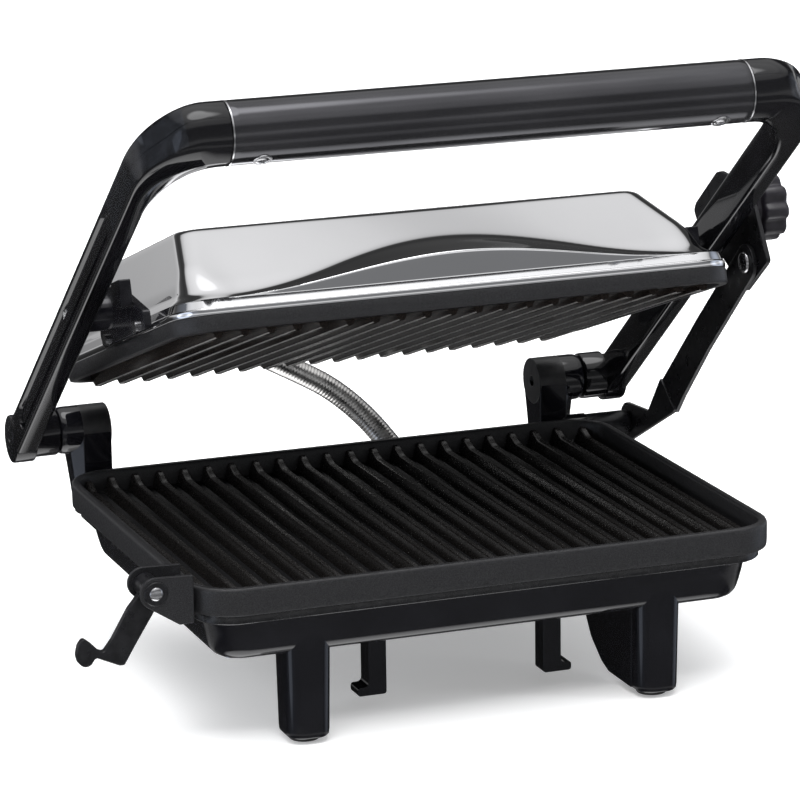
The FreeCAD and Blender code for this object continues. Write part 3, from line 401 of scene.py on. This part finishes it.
def rib(shape, x, front, back, foot, crest_line, side, kind):
    """One rib: a rounded ridge whose crest follows a line; side is +1 up or -1 down."""
    rings = []
    for y, low, high in crest_line(front, back):
        tall = high - low
        section = [(-3.8, -0.3), (-3.6, 0.12), (-2.0, 0.72), (-1.6, 0.92), (-1.05, 1.0), (1.05, 1.0),
                   (1.6, 0.92), (2.0, 0.72), (3.6, 0.12), (3.8, -0.3)]
        rings.append([(x + u, y, foot + side * (low + tall * max(v, 0) + min(v, 0))) for u, v in section])
    shape.loft(rings, (True, True), kind)


def square_end(low, high):
    """A crest line of one height, with its end edges just broken."""
    def line(front, back):
        ends = [(0, low, high - 0.06), (0.3, low, high)]
        steps = [(front + d, a, b) for d, a, b in ends]
        steps += [(front + (back - front) * i / 6, low, high) for i in range(1, 6)]
        return steps + [(back - d, a, b) for d, a, b in reversed(ends)]
    return line


def end_of_rib(x, half, depth, corner):
    """How far along Y a rib may run inside a rounded rectangle."""
    over = abs(x) - (half - corner)
    if over <= 0:
        return depth
    return depth - (corner - math.sqrt(max(corner ** 2 - over ** 2, 0)))


def ramped(reach):
    """A crest line that is highest at both ends and level between them."""
    def line(front, back):
        run = []
        for d, up_by in ((0, 1), (1.5, 0.97), (3, 0.86), (5, 0.6), (7, 0.3), (9, 0.1), (11, 0)):
            run.append((front + d, 0, reach[0] + (reach[1] - reach[0]) * up_by))
        middle = [(front + 11 + (back - front - 22) * i / 6, 0, reach[0]) for i in range(1, 6)]
        mirror = [(front + back - y, low, high) for y, low, high in reversed(run)]
        return run + middle + mirror
    return line


RIBS = [(i - 10.5) * 11.9 for i in range(22)]
plate = Shape()
plate.loft(plate_rings(RIM_HALF, -RIM_DEEP, RIM_DEEP, 21, [
    (9, 65.5), (1.2, 65.5), (0.5, 65.8), (0.15, 66.5), (0.05, 68), (0, 71), (0, 75.6), (0.12, 76.6),
    (0.5, 77.4), (1.1, 77.86), (1.8, 78), (2.6, 78), (3.3, 77.8), (3.8, 77.2), (4.1, 76.3), (4.5, 70),
    (4.9, 68.4), (5.8, 67.6), (7, 67.5)]))
for x in RIBS:
    reach = end_of_rib(x, 131.6, 101.3, 16.8)
    rib(plate, x, -reach, reach, 67.5, ramped((4.5, 7.6)), 1, 1)
plate.piece("lower_plate_casting", "base", "grill", ["grill", "ribs"], ["lower_grill_plate"], angle=28)

plate = Shape()
plate.loft(plate_rings(130.15, -103.85, 103.85, 20, [
    (9, 7.5), (0.6, 7.5), (0.15, 7.2), (0, 6.6), (0, 1.4), (0.15, 0.7), (0.5, 0.2), (1.1, 0), (3, 0),
    (3.8, 0.2), (4.2, 0.7), (4.6, 2.4), (5.4, 3), (7, 3)]), transform=LID)
ribs = Shape()
for x in RIBS:
    if abs(x) < 124:
        reach = end_of_rib(x, 125.6, 99.3, 15.8)
        # the crest's edge faces (section faces 3 and 5, kind 2) take the painted highlight material
        rib(ribs, x, -reach, reach, 3.0, square_end(0, 5.5), -1,
            lambda level, index: 2 if index in (3, 5) else 1)
plate.add(ribs.points, ribs.faces, ribs.kinds, LID)
plate.piece("upper_plate_casting", "lid", "grill", ["grill", "under", "rib_crest_painted_glint"], ["upper_grill_plate"],
            angle=28)

collar = Shape()
collar.loft(plate_rings(132.2, -101.95, 101.95, 17.2, [
    (8, 61), (0.4, 61), (0, 61.4), (0, 65), (0.3, 65.5), (8, 65.5)]))
collar.piece("collar_band", "base", "collar", replaces=["plate_collar"])

# ---------------------------------------------------------------- lid cover
SKIRT, TOP = 14.2, 50.5
ARCH = 11
LIP, STRIP = 10.6, 3.3


def bow(x):
    """How far the front panel's upper edge rises above the skirt, from 0 to 1."""
    return math.cos(math.pi * x / 220) ** 2 if abs(x) < 110 else 0.0


def soft_step(value, bend=0.028):
    """Zero below zero and the value itself above, with a rounded turn between."""
    return bend * math.log(1 + math.exp(value / bend))


def front_rise(v, x):
    """The front slope's share of its height: a flatter ledge below, a steeper face above."""
    calm = smooth(abs(x), 98, 116)
    ledge = 0.07 + 0.4 * bow(x)
    flat = 0.5 + 0.2 * bow(x) + (0.5 - 0.2 * bow(x)) * calm
    past = soft_step(v - ledge) - soft_step(-ledge)
    return flat * v + (1 - flat) * past / (soft_step(1 - ledge) - soft_step(-ledge))


def cover_ring(v, inset=0.0, lift=0.0):
    half, front, back = 130.0 - 18 * v, -103.7 + 51.7 * v, 103.7 - 37.7 * v
    flare = 3.2 * (1 - v) * smooth(v, 0, 0.12)
    half, back = half - flare, back - flare
    corner = 20 - 11 * smooth(v, 0, 0.5) - 0.1 * inset

    def height(x, y):
        if y > front + inset + corner + 0.5:
            return SKIRT + (TOP - SKIRT) * v + lift
        edge = SKIRT + ARCH * bow(x)
        return edge + (TOP - edge) * front_rise(v, x) + lift

    return rect_ring(half - inset, front + inset, back - inset, corner, height, corner=12, along=72, deep=40)


def skirt_ring(inset, share, base=LIP):
    """Between the lip and the front panel's upper edge."""
    def height(x, y):
        edge = SKIRT + ARCH * bow(x) if y < -80 else SKIRT
        return base + (edge - base) * share

    return rect_ring(130.1 - inset, -103.8 + inset, 103.8 - inset, 20 - inset, height, corner=12, along=72,
                     deep=40)


levels = [0.0, 0.012, 0.03] + [0.05 + 0.025 * i for i in range(23)] + [0.66, 0.76, 0.84, 0.9, 0.94]
rings = [skirt_ring(1.4, 0, 7.5), skirt_ring(0.2, 0, 7.5), skirt_ring(0.0, 0, 7.8), skirt_ring(0.0, 0, 9.8),
         skirt_ring(0.12, 0, 10.2), skirt_ring(0.4, 0, 10.45)]
rings += [skirt_ring(0.5 + 1.04 * share, 0, LIP + STRIP * share) for share in (0, 0.03, 0.5, 0.96, 1)]
rings += [skirt_ring(1.55 + 0.1 * share, share, LIP + STRIP) for share in (0.04, 0.12, 0.4, 0.7, 0.88)]
rings += [skirt_ring(1.7, 0.95, LIP + STRIP), skirt_ring(1.85, 0.985, LIP + STRIP),
          skirt_ring(2.1, 1.0, LIP + STRIP)]
rings += [cover_ring(v, 2.4 - 0.6 * smooth(v, 0, 0.3)) for v in levels]
rings += [cover_ring(0.965, 2.0, 0.1), cover_ring(0.985, 2.5, 0.1), cover_ring(1.0, 3.4, 0.1),
          cover_ring(1.0, 4.8, 0.35)]
rings += [cover_ring(1.0, s, 0.35 + 1.3 * (1 - (1 - s / 59) ** 2)) for s in (8, 14, 22, 32, 42, 50)]
cover = Shape()
cover.loft(rings, transform=LID)
cover.piece("lid_cover_shell", "lid", "lid_shell", replaces=["lid_cover"], angle=38, merge=0.02)


# ---------------------------------------------------------------- arms and elbows
def arm_outline(slot_half, slot_depth):
    """The arm's section: distance across from its middle, distance below it, and across with no slot."""
    s = max(slot_half, 0.3)
    d = slot_depth
    face = [(-7.2, 0), (-s - 1.6, 0), (-s - 0.3, 0), (-s, 0.2 * d), (-s + 0.2, 0.9 * d), (-s + 0.35, d),
            (-0.42 * s, d), (-0.36 * s, 0.55 * d), (0.36 * s, 0.55 * d), (0.42 * s, d), (s - 0.35, d),
            (s - 0.2, 0.9 * d), (s, 0.2 * d), (s + 0.3, 0), (s + 1.6, 0), (7.2, 0)]
    points = [(5 - depth, b, 5) for b, depth in face]
    points += [(x, b, x) for x, b in arc((3.4, 7.2), 1.6, 0, 90, 4)[1:]]
    points += [(0, ARM_HALF, 0)]
    points += [(x, b, x) for x, b in arc((-3.4, 7.2), 1.6, 90, 180, 4)]
    points += [(-5, 4, -5), (-5, 0, -5), (-5, -4, -5)]
    points += [(x, b, x) for x, b in arc((-3.4, -7.2), 1.6, 180, 270, 4)]
    points += [(0, -ARM_HALF, 0)]
    points += [(x, b, x) for x, b in arc((3.4, -7.2), 1.6, 270, 360, 4)[:-1]]
    return points


FACE_POINTS = 16


def arm_ring(inner, outer, blend, shift, slot_half=0.0, slot_depth=0.0, facet=0.82):
    """One section between an inner and an outer point; blend turns the flat arm into the round grip."""
    half = ARM_HALF + 5 * blend
    start, end = on_arm(inner[1], shift, inner[0]), on_arm(outer[1], shift, outer[0])
    middle, reach = (start + end) / 2, (end - start) / 2
    made = []
    limit_angle = math.asin(min(facet, 1))
    flat = (1 - blend) + blend * math.cos(limit_angle)
    for index, (across, below, plain) in enumerate(arm_outline(slot_half, slot_depth)):
        a, b = across / 5, below / ARM_HALF
        angle = math.atan2(b, plain / 5)
        u = (1 - blend) * a + blend * (math.cos(angle) - (plain - across) / 5)
        w = (1 - blend) * b + blend * math.sin(angle)
        if index < FACE_POINTS and blend > 0 and facet > 0:
            u = min(u, flat)
        made.append(middle + reach * u + BELOW * (half * w))
    return made


def slot_at(s):
    """The slot's half width and depth at a distance up the arm."""
    if s <= SLOT_LOW - SLOT_HALF or s >= SLOT_TIP:
        return 0.0, 0.0
    half = SLOT_HALF
    if s < SLOT_LOW:
        half = math.sqrt(max(SLOT_HALF ** 2 - (SLOT_LOW - s) ** 2, 0.01))
    if s > SLOT_TAPER:
        half = SLOT_HALF * (SLOT_TIP - s) / (SLOT_TIP - SLOT_TAPER)
    return half, 2 * min(half / 1.2, 1)


def arm_shape():
    """The right arm with its elbow, its round hinge end, the pin's end and the hinge sleeve."""
    shape = Shape()
    stations = [0, 10, 18, SLOT_LOW - SLOT_HALF, 20.5, 21.2, 22, 23, 24.5, SLOT_LOW, 30, 60, 90, 120, 150,
                180, 210, SLOT_TAPER, 215, 217, 219, 221, 223, 225.2, SLOT_TIP, 227, 228, 229, 230]
    facet_start = stations.index(223)
    rings = []
    for s in stations:
        half, depth = slot_at(s)
        rings.append(arm_ring((ARM_IN, s), (ARM_OUT, s), 0, ARM_SHIFT, half, depth))
    steps = 26
    facet_end = facet_start
    for step in range(steps + 1):
        angle = math.pi / 2 * step / steps
        inner = (119 + 26 * math.cos(angle), 238 + 33.2 * math.sin(angle))
        outer = (128 + 27 * math.cos(angle), 260 + 38.8 * math.sin(angle))
        blend = math.sin(angle) ** 2
        past = step / steps
        facet = 0.86 * math.sqrt(max(1 - smooth(past, 0.42, 0.8) ** 1.6, 0))
        if facet >= 0.02:
            facet_end = len(rings)
        rings.append(arm_ring(inner, outer, blend, ARM_SHIFT * (1 - blend), facet=facet))
    rings.append(arm_ring((118.6, 271.2), (119.6, 298.8), 1, 0, facet=0))
    rings.append(arm_ring((118.4, 271.4), (118.5, 298.6), 1, 0, facet=0))

    def kind(level, index):
        return 1 if index < FACE_POINTS - 1 and facet_start <= level < facet_end else 0

    shape.loft(rings, (True, True), kind)
    shape.lathe([(0.2, 10.2), (0, 10.8), (0.5, 11.3), (1.2, 11.4), (9.2, 11.4), (9.9, 11.2), (10.15, 10.6),
                 (10.15, 0.1)], on_arm(-1, 1.3, 144.9), X, 64)
    shape.lathe([(10.1, 4.4), (10.35, 4.1), (10.35, 3.7), (9.6, 3.5), (7.4, 3.4), (7.3, 0.1)],
                HINGE + X * 144.9, X, 32)
    shape.lathe([(0, 10.2), (0.4, 10.9), (1.1, 11.25), (11.6, 11.25)], HINGE + X * 133.4, X, 48)
    return shape


for side, sign in (("left", -1), ("right", 1)):
    shape = arm_shape()
    if sign < 0:
        shape.points = [flip(p) for p in shape.points]
    shape.piece(side + "_arm_body", "handle", "arm", ["arm", "facet"], [side + "_arm"], angle=30)

# ---------------------------------------------------------------- grip
grip = Shape()
ends = [(0, 12), (0, 13.4), (0.15, 13.8), (0.8, 13.8), (0.95, 13.5), (1.3, 13.62), (4, 13.7)]
span = 236.4
profile = ends + [(span * i / 12, 13.7) for i in range(1, 12)] + [(span - a, r) for a, r in reversed(ends)]
# the small ridges at both ends take the bright steel material (kind 1): a painted highlight line where the
# grip's end gap catches light
grip.lathe(profile, GRIP - X * (span / 2), X, 72,
           lambda level, index: 1 if level in (1, 2, len(profile) - 4, len(profile) - 3) else 0)
grip.piece("grip_sleeve", "handle", "grip", ["grip", "steel"], ["grip_tube"])
down = Vector((0, -math.cos(math.radians(55)), -math.sin(math.radians(55))))
screws = Shape()
for sign in (-1, 1):
    place = GRIP + X * (104 * sign) + down * 13.1
    screws.lathe([(0, 4.2), (0.55, 4.2), (0.75, 3.9), (0.75, 3.2)], place, down, 36)
    screw_head(screws, place, down, 3.0, 1.3)
screws.piece("grip_screw_heads", "handle", "steel", replaces=["grip_screws"])

# ---------------------------------------------------------------- base housing
tub = Shape()
tub_profile = [(8, 61.2), (8.1, 60.6), (8.3, 60), (9.6, 54), (10.8, 49.6), (11.6, 47), (12.6, 44.8),
               (14.2, 43), (16.4, 41.9), (19, 41.5), (24, 41.5), (26, 41.7), (28, 42.3), (40, 42.3)]
tub.loft(plate_rings(RIM_HALF, -RIM_DEEP, RIM_DEEP, 26, tub_profile))


def leg_rings(width, length, taper, across, middle, radius, top, bottom=2.5):
    """A leg's outlines from its top down to the rounded edge above its foot pad."""
    rings = []
    for z, share, inset in ((top, 0, 0), (top - 6, 0.1, 0), ((top + bottom) / 2, 0.5, 0),
                            (bottom + 3, 0.94, 0), (bottom + 1, 1, 0.2), (bottom + 0.3, 1, 0.8),
                            (bottom, 1, 1.6)):
        half = (width - taper * share) / 2 - inset
        deep = (length - taper * share) / 2 - inset
        ring = rect_ring(half, -deep, deep, radius - inset, z, corner=6, along=4, deep=4)
        rings.append([(x + across, y + middle, z) for x, y, z in ring])
    return rings


for sign in (-1, 1):
    tub.loft(leg_rings(21, 25, 1.5, 82.5 * sign, -82.5, 7.4, 51))
    tub.loft(leg_rings(18, 16, 3, 55 * sign, 80, 5, 46))
tub.piece("housing_bowl", "base", "housing", replaces=["base_housing"], angle=34)

fins = Shape()
web = rounded([(-84, 44), (-16, 44), (-38, 14), (-50, 6), (-58, 3.4), (-84, 3.4)], [1, 1, 12, 8, 5, 1])


def post_ring(side, back, height, fillet):
    """The post's outline at one height; the outer back corner is rounded."""
    front = HINGE.y - BARREL
    corners = [(109, front), (122.5, front), (side, front + 6), (side, back), (109, back)]
    return [(x, y, height) for x, y in rounded(corners, [0.8, 1, 2.5, fillet, 0.8], 6)]


for sign in (-1, 1):
    x = 73.5 * sign
    fins.prism(yz(web, x - 1.4), X * 2.8)
    post = [post_ring(125, HINGE.y + 2, 54.2, 3), post_ring(125.6, HINGE.y + 3.8, 60.8, 3),
            post_ring(127, HINGE.y + 7.2, 76, 4), post_ring(128.6, HINGE.y + 10.4, 89, 5),
            post_ring(129, HINGE.y + 11.2, 94.2, 6)]
    fins.loft([[(sign * x, y, z) for x, y, z in ring] for ring in post])
    barrel = [(0, 10.4), (0.3, 11), (1, 11.25), (20.5, 11.25), (22.6, 11), (23.6, 10.4), (24, 9.4)]
    fins.lathe(barrel, HINGE + X * (109 * sign), X * sign, 56)
    toe = rounded([(37.5, 42), (37.5, 9), (51, 9), (51, 13), (46, 13), (46, 42)], [1, 1.5, 1.5, 1.5, 3, 1])
    fins.prism([(sign * px, -65, pz) for px, pz in toe], Y * 10)
fins.lathe([(0, 6), (0.4, 6.5), (13, 6.5)], STAY_FOOT + X * 120, X, 32)
fins.piece("housing_posts_and_fins", "base", "housing", bevel=0.9, segments=3)

caps = Shape()
for sign in (-1, 1):
    inner = HINGE + X * (109 * sign)
    caps.lathe([(-13.5, BARREL), (-0.1, BARREL), (0.25, 11), (0.3, 10.4), (0.3, 3), (0, 2.6), (-2.2, 2.4),
                (-2.3, 0.1)], inner, X * -sign, 56)
caps.piece("hinge_end_caps", "base", "bush", angle=25)

feet = Shape()
for x, y in ((-82.5, -82.5), (82.5, -82.5), (-55, 80), (55, 80)):
    feet.lathe([(0, 5.9), (0.15, 6.5), (0.6, 6.9), (2.5, 7.0)], (x, y, 0), Z, 36)
feet.piece("foot_pads", "base", "rubber", replaces=["rubber_feet"])


# ---------------------------------------------------------------- lid lugs and pivots
def lid_point(x, y, z):
    return LID @ Vector((x, y, z))


PIVOT = LID.inverted() @ LID_PIVOT
lug_outline = rounded([(-60, 8), (8, 8), (12, 13), (4, 30), (-18, 33), (-38, 25), (-60, 16)],
                      [2, 3, 4, 6, 6, 6, 2])
for side, sign in (("left", -1), ("right", 1)):
    lug = Shape()
    start = 130.2 if sign > 0 else -133.7
    lug.prism(yz(lug_outline, start), X * 3.5, transform=LID)
    tab = rounded([(-45, 20), (-32, 20), (-32, 32), (-45, 32)], 1)
    lug.prism(yz(tab, 133 if sign > 0 else -138.5), X * 5.5, transform=LID)
    boss = [(0, 9.2), (1, 8.4), (3, 8), (13.6, 8), (14.1, 7.6), (14.1, 4.05)]
    lug.lathe(boss, (130.4 * sign, PIVOT.y, PIVOT.z), X * sign, 40, transform=LID)
    lug.piece(side + "_lug_body", "lid", "lug", replaces=[side + "_lid_lug"], bevel=0.6)

pins = Shape()
for sign in (-1, 1):
    pins.lathe([(0, 3.6), (0.4, 4), (21, 4)], LID_PIVOT + X * (131.6 * sign), X * sign, 32)
    screw_head(pins, LID_PIVOT + X * (152.5 * sign), X * sign, 4.2, 1.4)
pins.piece("lid_pivot_screws", "handle", "steel", replaces=["lid_pivot_pins"])

# ---------------------------------------------------------------- stay, bracket and knob
top = Vector((STAY_TOP.y, STAY_TOP.z))
heading = math.degrees(math.atan2(133.3 - top.y, 28.6 - top.x))
cap = arc(top, 8.55, heading + 90, heading + 270, 20)
upper_strap = cap + [(22.8, 126.8), (50.6, 97.9), (59.1, 87.9), (75.6, 100.1), (34.5, 139.9)]
lower_strap = ([(59.3, 88.1), (57.6, 89.9), (74.2, 101.5), (75.6, 100.1), (89.3, 81.9)]
               + arc((STAY_FOOT.y, STAY_FOOT.z), 9.4, 80, -110, 18))
stay = Shape()
stay.prism(yz(upper_strap, 157.5), X * 2.2)
stay.prism(yz(lower_strap, 156.2), X * 2.2)
stay.piece("stay_strap", "stay", "black_steel", replaces=["stay_bar"], bevel=0.4)

corners = [(-37.5, 181.8), (-13.2, 162.3), (41.5, 186), (44.5, 190), (42, 194), (19.5, 212.5), (14.5, 214),
           (9, 211.5)]
plate_outline = hull(rounded(corners, 3) + arc((KNOB.y, KNOB.z), 12, 0, 360, 40)[:-1])
bracket = Shape()
bracket.prism(yz(plate_outline, 160.1), X * 2.4)
bracket.piece("lock_plate", "bracket", "black_steel", replaces=["lock_bracket"], bevel=0.5)

rivet = Shape()
rivet.lathe([(0, 0.1), (0, 3.2), (0.5, 4.6), (1.2, 5), (1.7, 5), (1.7, 3), (6.9, 3)],
            STAY_TOP + X * 155.5, X, 36)
rivet.piece("stay_rivet_turned", "bracket", "steel", replaces=["stay_rivet"])

stud = Shape()
stud.lathe([(0, 5.9), (21.8, 5.9), (22.3, 5.6), (22.5, 5.4), (22.5, 4), (25.4, 4), (25.4, 6), (26.6, 6),
            (27.1, 5.2), (27.1, 0.1)], STAY_FOOT + X * 133, X, 40)
stud.piece("stay_stud_turned", "base", "black_steel", replaces=["stay_stud"])


def knob_ring(along, scale, fluted=1.0, count=9, segments=144):
    """One outline of the knob; fluted is how deep its hollows are, from 0 to 1."""
    ring = []
    for i in range(segments):
        a = 2 * math.pi * i / segments
        swing = 0.5 + 0.5 * math.cos(count * a)
        radius = scale * (15.4 - fluted * 2.4 * swing ** 1.6)
        ring.append(KNOB + X * along + Y * (radius * math.cos(a)) + Z * (radius * math.sin(a)))
    return ring


knob = Shape()
knob.loft([knob_ring(163.0, 0.55, 0), knob_ring(163.0, 0.62, 0.2), knob_ring(163.6, 0.66, 0.2),
           knob_ring(165.4, 0.68, 0.3), knob_ring(165.7, 0.9, 1), knob_ring(166.2, 0.97),
           knob_ring(166.9, 1.0), knob_ring(175.1, 1.0), knob_ring(176.3, 0.985), knob_ring(177.1, 0.93),
           knob_ring(177.5, 0.84, 0.7), knob_ring(177.5, 0.7, 0), knob_ring(177.0, 0.66, 0),
           knob_ring(176.9, 0.3, 0), knob_ring(177.1, 0.02, 0)])
knob.piece("lock_knob_moulding", "knob", "knob", replaces=["lock_knob"], angle=36)

# ---------------------------------------------------------------- latch
PIN_X, PIN_Z = -152.3, 77.6
latch = Shape()
ear = hull([(-135.6, 84), (-135.6, 63), (-142, 62.6), (-157, 73.5)]
           + arc((PIN_X, PIN_Z), 7, 0, 360, 40)[:-1])
for start in (-97, -79):
    latch.prism(xz(ear, start), Y * 2)
latch.prism([(-138.4, -95, 63.6), (-136.1, -95, 63.6), (-136.1, -95, 79.6), (-138.4, -95, 79.6)], Y * 16)
latch.piece("latch_ears", "base", "bracket", replaces=["latch_bracket"], bevel=0.45)

hook = Shape()
claw = rounded([(PIN_X + dx, PIN_Z + dz) for dx, dz in (
    (-5, -2), (5, -2), (3.7, -6.6), (0.8, -11.4), (-7.2, -24), (-12.3, -32.5), (-14.5, -32.4),
    (-24.9, -27.7), (-27.1, -31), (-30, -31.5), (-32.6, -29.4), (-33.4, -25.6), (-32.4, -21.4),
    (-30.1, -18.4), (-26.5, -21.4), (-23.4, -24.7), (-21.2, -25.5), (-17.3, -20.5), (-9.9, -7.9))],
    [1, 1, 3, 4, 6, 2.5, 2, 1.5, 3, 4, 4, 5, 5, 2, 8, 3, 3, 8, 8])
hook.prism(xz(claw, -89), Y * 4)
hook.piece("latch_claw", "latch", "black_steel", replaces=["latch_hook"], bevel=0.7, segments=3)
barrel = Shape()
barrel.lathe([(0, 4.4), (0.5, 5), (14.7, 5), (15.2, 4.4)], (PIN_X, -94.6, PIN_Z), Y, 36)
barrel.piece("latch_barrel", "latch", "black_steel")

pin = Shape()
pin.lathe([(0, 0.1), (0.1, 1.5), (0.4, 2.5), (0.9, 2.95), (1.6, 3), (1.6, 2), (22.6, 2)],
          (PIN_X, -98.6, PIN_Z), Y, 36)
washer = Shape()
washer.lathe([(0, 2.9), (0, 5), (0.3, 5.3), (0.7, 5.3)], (PIN_X, -97.7, PIN_Z), Y, 36)
washer.piece("latch_washer", "base", "black_steel")
pin.piece("latch_rivet", "base", "steel", replaces=["latch_pin"])

# ---------------------------------------------------------------- conduit
ROUTE = [tuple(lid_point(-36, 90, 21)), tuple(lid_point(-36, 106, 21)), tuple(lid_point(-36, 119, 20.5)),
         (-25, 150, 116), (-5, 149, 105.2), (13, 145.5, 95), (29, 139, 80), (41, 127, 62), (48, 114, 52.4),
         (48, 102, 52), (48, 92, 52)]
curve = bpy.data.curves.new("conduit_line", "CURVE")
curve.dimensions, curve.resolution_u = "3D", 24
spline = curve.splines.new("NURBS")
spline.points.add(len(ROUTE) - 1)
for point, place in zip(spline.points, ROUTE):
    point.co = (*[c * MM for c in place], 1)
spline.order_u, spline.use_endpoint_u = 3, True
line = bpy.data.objects.new("conduit_line", curve)
bpy.context.scene.collection.objects.link(line)
trace = bpy.data.meshes.new_from_object(line)
line_points = [v.co / MM for v in trace.vertices]
bpy.data.objects.remove(line)
bpy.data.curves.remove(curve)
bpy.data.meshes.remove(trace)


def evenly(points, step):
    """The same line, with points a fixed distance apart."""
    made, left = [points[0].copy()], step
    for start, end in zip(points, points[1:]):
        gap = (end - start).length
        at = 0.0
        while gap - at >= left:
            at += left
            made.append(start + (end - start) * (at / gap))
            left = step
        left -= gap - at
    return made


def sleeve(points, first):
    """A ribbed flexible sleeve along a line."""
    shape = Shape()
    rings = []
    normal = X.copy()
    for index, point in enumerate(points):
        ahead = points[min(index + 1, len(points) - 1)] - points[max(index - 1, 0)]
        ahead.normalize()
        normal = (normal - ahead * normal.dot(ahead)).normalized()
        other = ahead.cross(normal)
        radius = 5.65 + 0.06 * math.cos((index + first) * 2 * math.pi / 4)
        rings.append([point + (normal * math.cos(a) + other * math.sin(a)) * radius
                      for a in (2 * math.pi * i / 28 for i in range(28))])
    shape.loft(rings)
    return shape


line_points = evenly(line_points, 0.42)
split = min(range(len(line_points)), key=lambda i: (line_points[i].z - 97) ** 2)
upper = sleeve(line_points[:split + 1], 0)
upper = upper.piece("conduit_upper", "handle", "conduit", replaces=["wiring_conduit"], angle=60, ride=False)
lower = sleeve(line_points[split:], split)
lower = lower.piece("conduit_lower", "handle", "conduit", angle=60, ride=False)
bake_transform(upper)
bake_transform(lower)

# ---------------------------------------------------------------- floor and light
floor = bpy.data.meshes.new("floor")
floor.from_pydata([(-7, -7, 0), (7, -7, 0), (7, 7, 0), (-7, 7, 0)], [], [(0, 1, 2, 3)])
floor_object = bpy.data.objects.new("floor", floor)
bpy.context.scene.collection.objects.link(floor_object)
paper = surface("floor_white", (0.93, 0.93, 0.93), (0.95, 0.95, 0.95), (0.85, 0.9), 0.0, colour_scale=3,
                Emission_Color=(1, 1, 1, 1), Emission_Strength=0.3)
floor.materials.append(paper)
floor_object.visible_glossy = False

world = bpy.data.worlds.new("studio")
bpy.context.scene.world = world
world.use_nodes = True
tree = world.node_tree
background = tree.nodes["Background"]
background.inputs["Strength"].default_value = 1.0
coordinates = tree.nodes.new("ShaderNodeTexCoord")
split_up = tree.nodes.new("ShaderNodeSeparateXYZ")
tree.links.new(coordinates.outputs["Generated"], split_up.inputs["Vector"])


def sky_ramp(output, stops, tint=(0.98, 1, 1.04)):
    """Brightness along one direction, from -1 to 1."""
    spread = tree.nodes.new("ShaderNodeMapRange")
    spread.inputs["From Min"].default_value = -1
    tree.links.new(split_up.outputs[output], spread.inputs["Value"])
    ramp = tree.nodes.new("ShaderNodeValToRGB")
    tree.links.new(spread.outputs["Result"], ramp.inputs["Fac"])
    elements = ramp.color_ramp.elements
    elements[0].position, elements[1].position = 0, 1
    for position, grey in stops[1:-1]:
        elements.new((position + 1) / 2)
    for element, (position, grey) in zip(elements, stops):
        element.color = (grey * tint[0], grey * tint[1], grey * tint[2], 1)
    return ramp.outputs["Color"]


height = sky_ramp("Z", ((-1, 2.6), (-0.92, 2.0), (-0.86, 0.1), (-0.66, 0.05), (-0.6, 0.4), (-0.5, 0.4),
                        (-0.44, 0.03), (-0.3, 0.02), (-0.16, 0.05), (-0.06, 0.4), (0.04, 0.6), (0.12, 0.16),
                        (0.2, 0.06), (0.4, 0.035), (0.5, 0.05), (0.55, 0.5), (0.62, 0.7), (0.785, 0.86),
                        (0.81, 1.1), (0.92, 1.2), (0.955, 5), (1, 5)), (1, 1, 1.01))
sides = sky_ramp("X", ((-1, 0.1), (-0.97, 0.9), (-0.93, 1.0), (-0.9, 0.15), (-0.7, 0), (0.85, 0),
                       (0.93, 0.5), (0.97, 0.6), (1, 0.1)), (0.85, 0.94, 1.12))
front = sky_ramp("Y", ((-1, 0.16), (-0.6, 0.13), (-0.2, 0), (1, 0)))
total = height
for extra in (sides, front):
    both = tree.nodes.new("ShaderNodeMix")
    both.data_type, both.blend_type = "RGBA", "ADD"
    both.inputs["Factor"].default_value = 1
    tree.links.new(total, both.inputs["A"])
    tree.links.new(extra, both.inputs["B"])
    total = both.outputs["Result"]
tree.links.new(total, background.inputs["Color"])


def softbox(name, place, aim, size, power, colour=(1, 1, 1)):
    light = bpy.data.lights.new(name, "AREA")
    light.shape, light.size, light.size_y = "RECTANGLE", size[0], size[1]
    light.energy, light.color = power, colour
    lamp = bpy.data.objects.new(name, light)
    bpy.context.scene.collection.objects.link(lamp)
    lamp.location = place
    lamp.rotation_euler = (Vector(aim) - Vector(place)).to_track_quat("-Z", "Y").to_euler()
    lamp.visible_glossy = False


softbox("key", (-0.6, -1.2, 2.2), (0, 0, 0.1), (1.6, 0.7), 30)
softbox("top", (0, 1.4, 3.2), (0, 1.2, 0), (3, 3), 20)
softbox("fill", (1.9, -1.2, 0.9), (0, 0, 0.1), (0.35, 1.5), 12, (0.96, 0.98, 1))
softbox("rim", (-1.9, 0.1, 0.9), (0, 0, 0.15), (0.35, 1.4), 14, (0.96, 0.98, 1))
bpy.context.scene.view_settings.view_transform = "Standard"
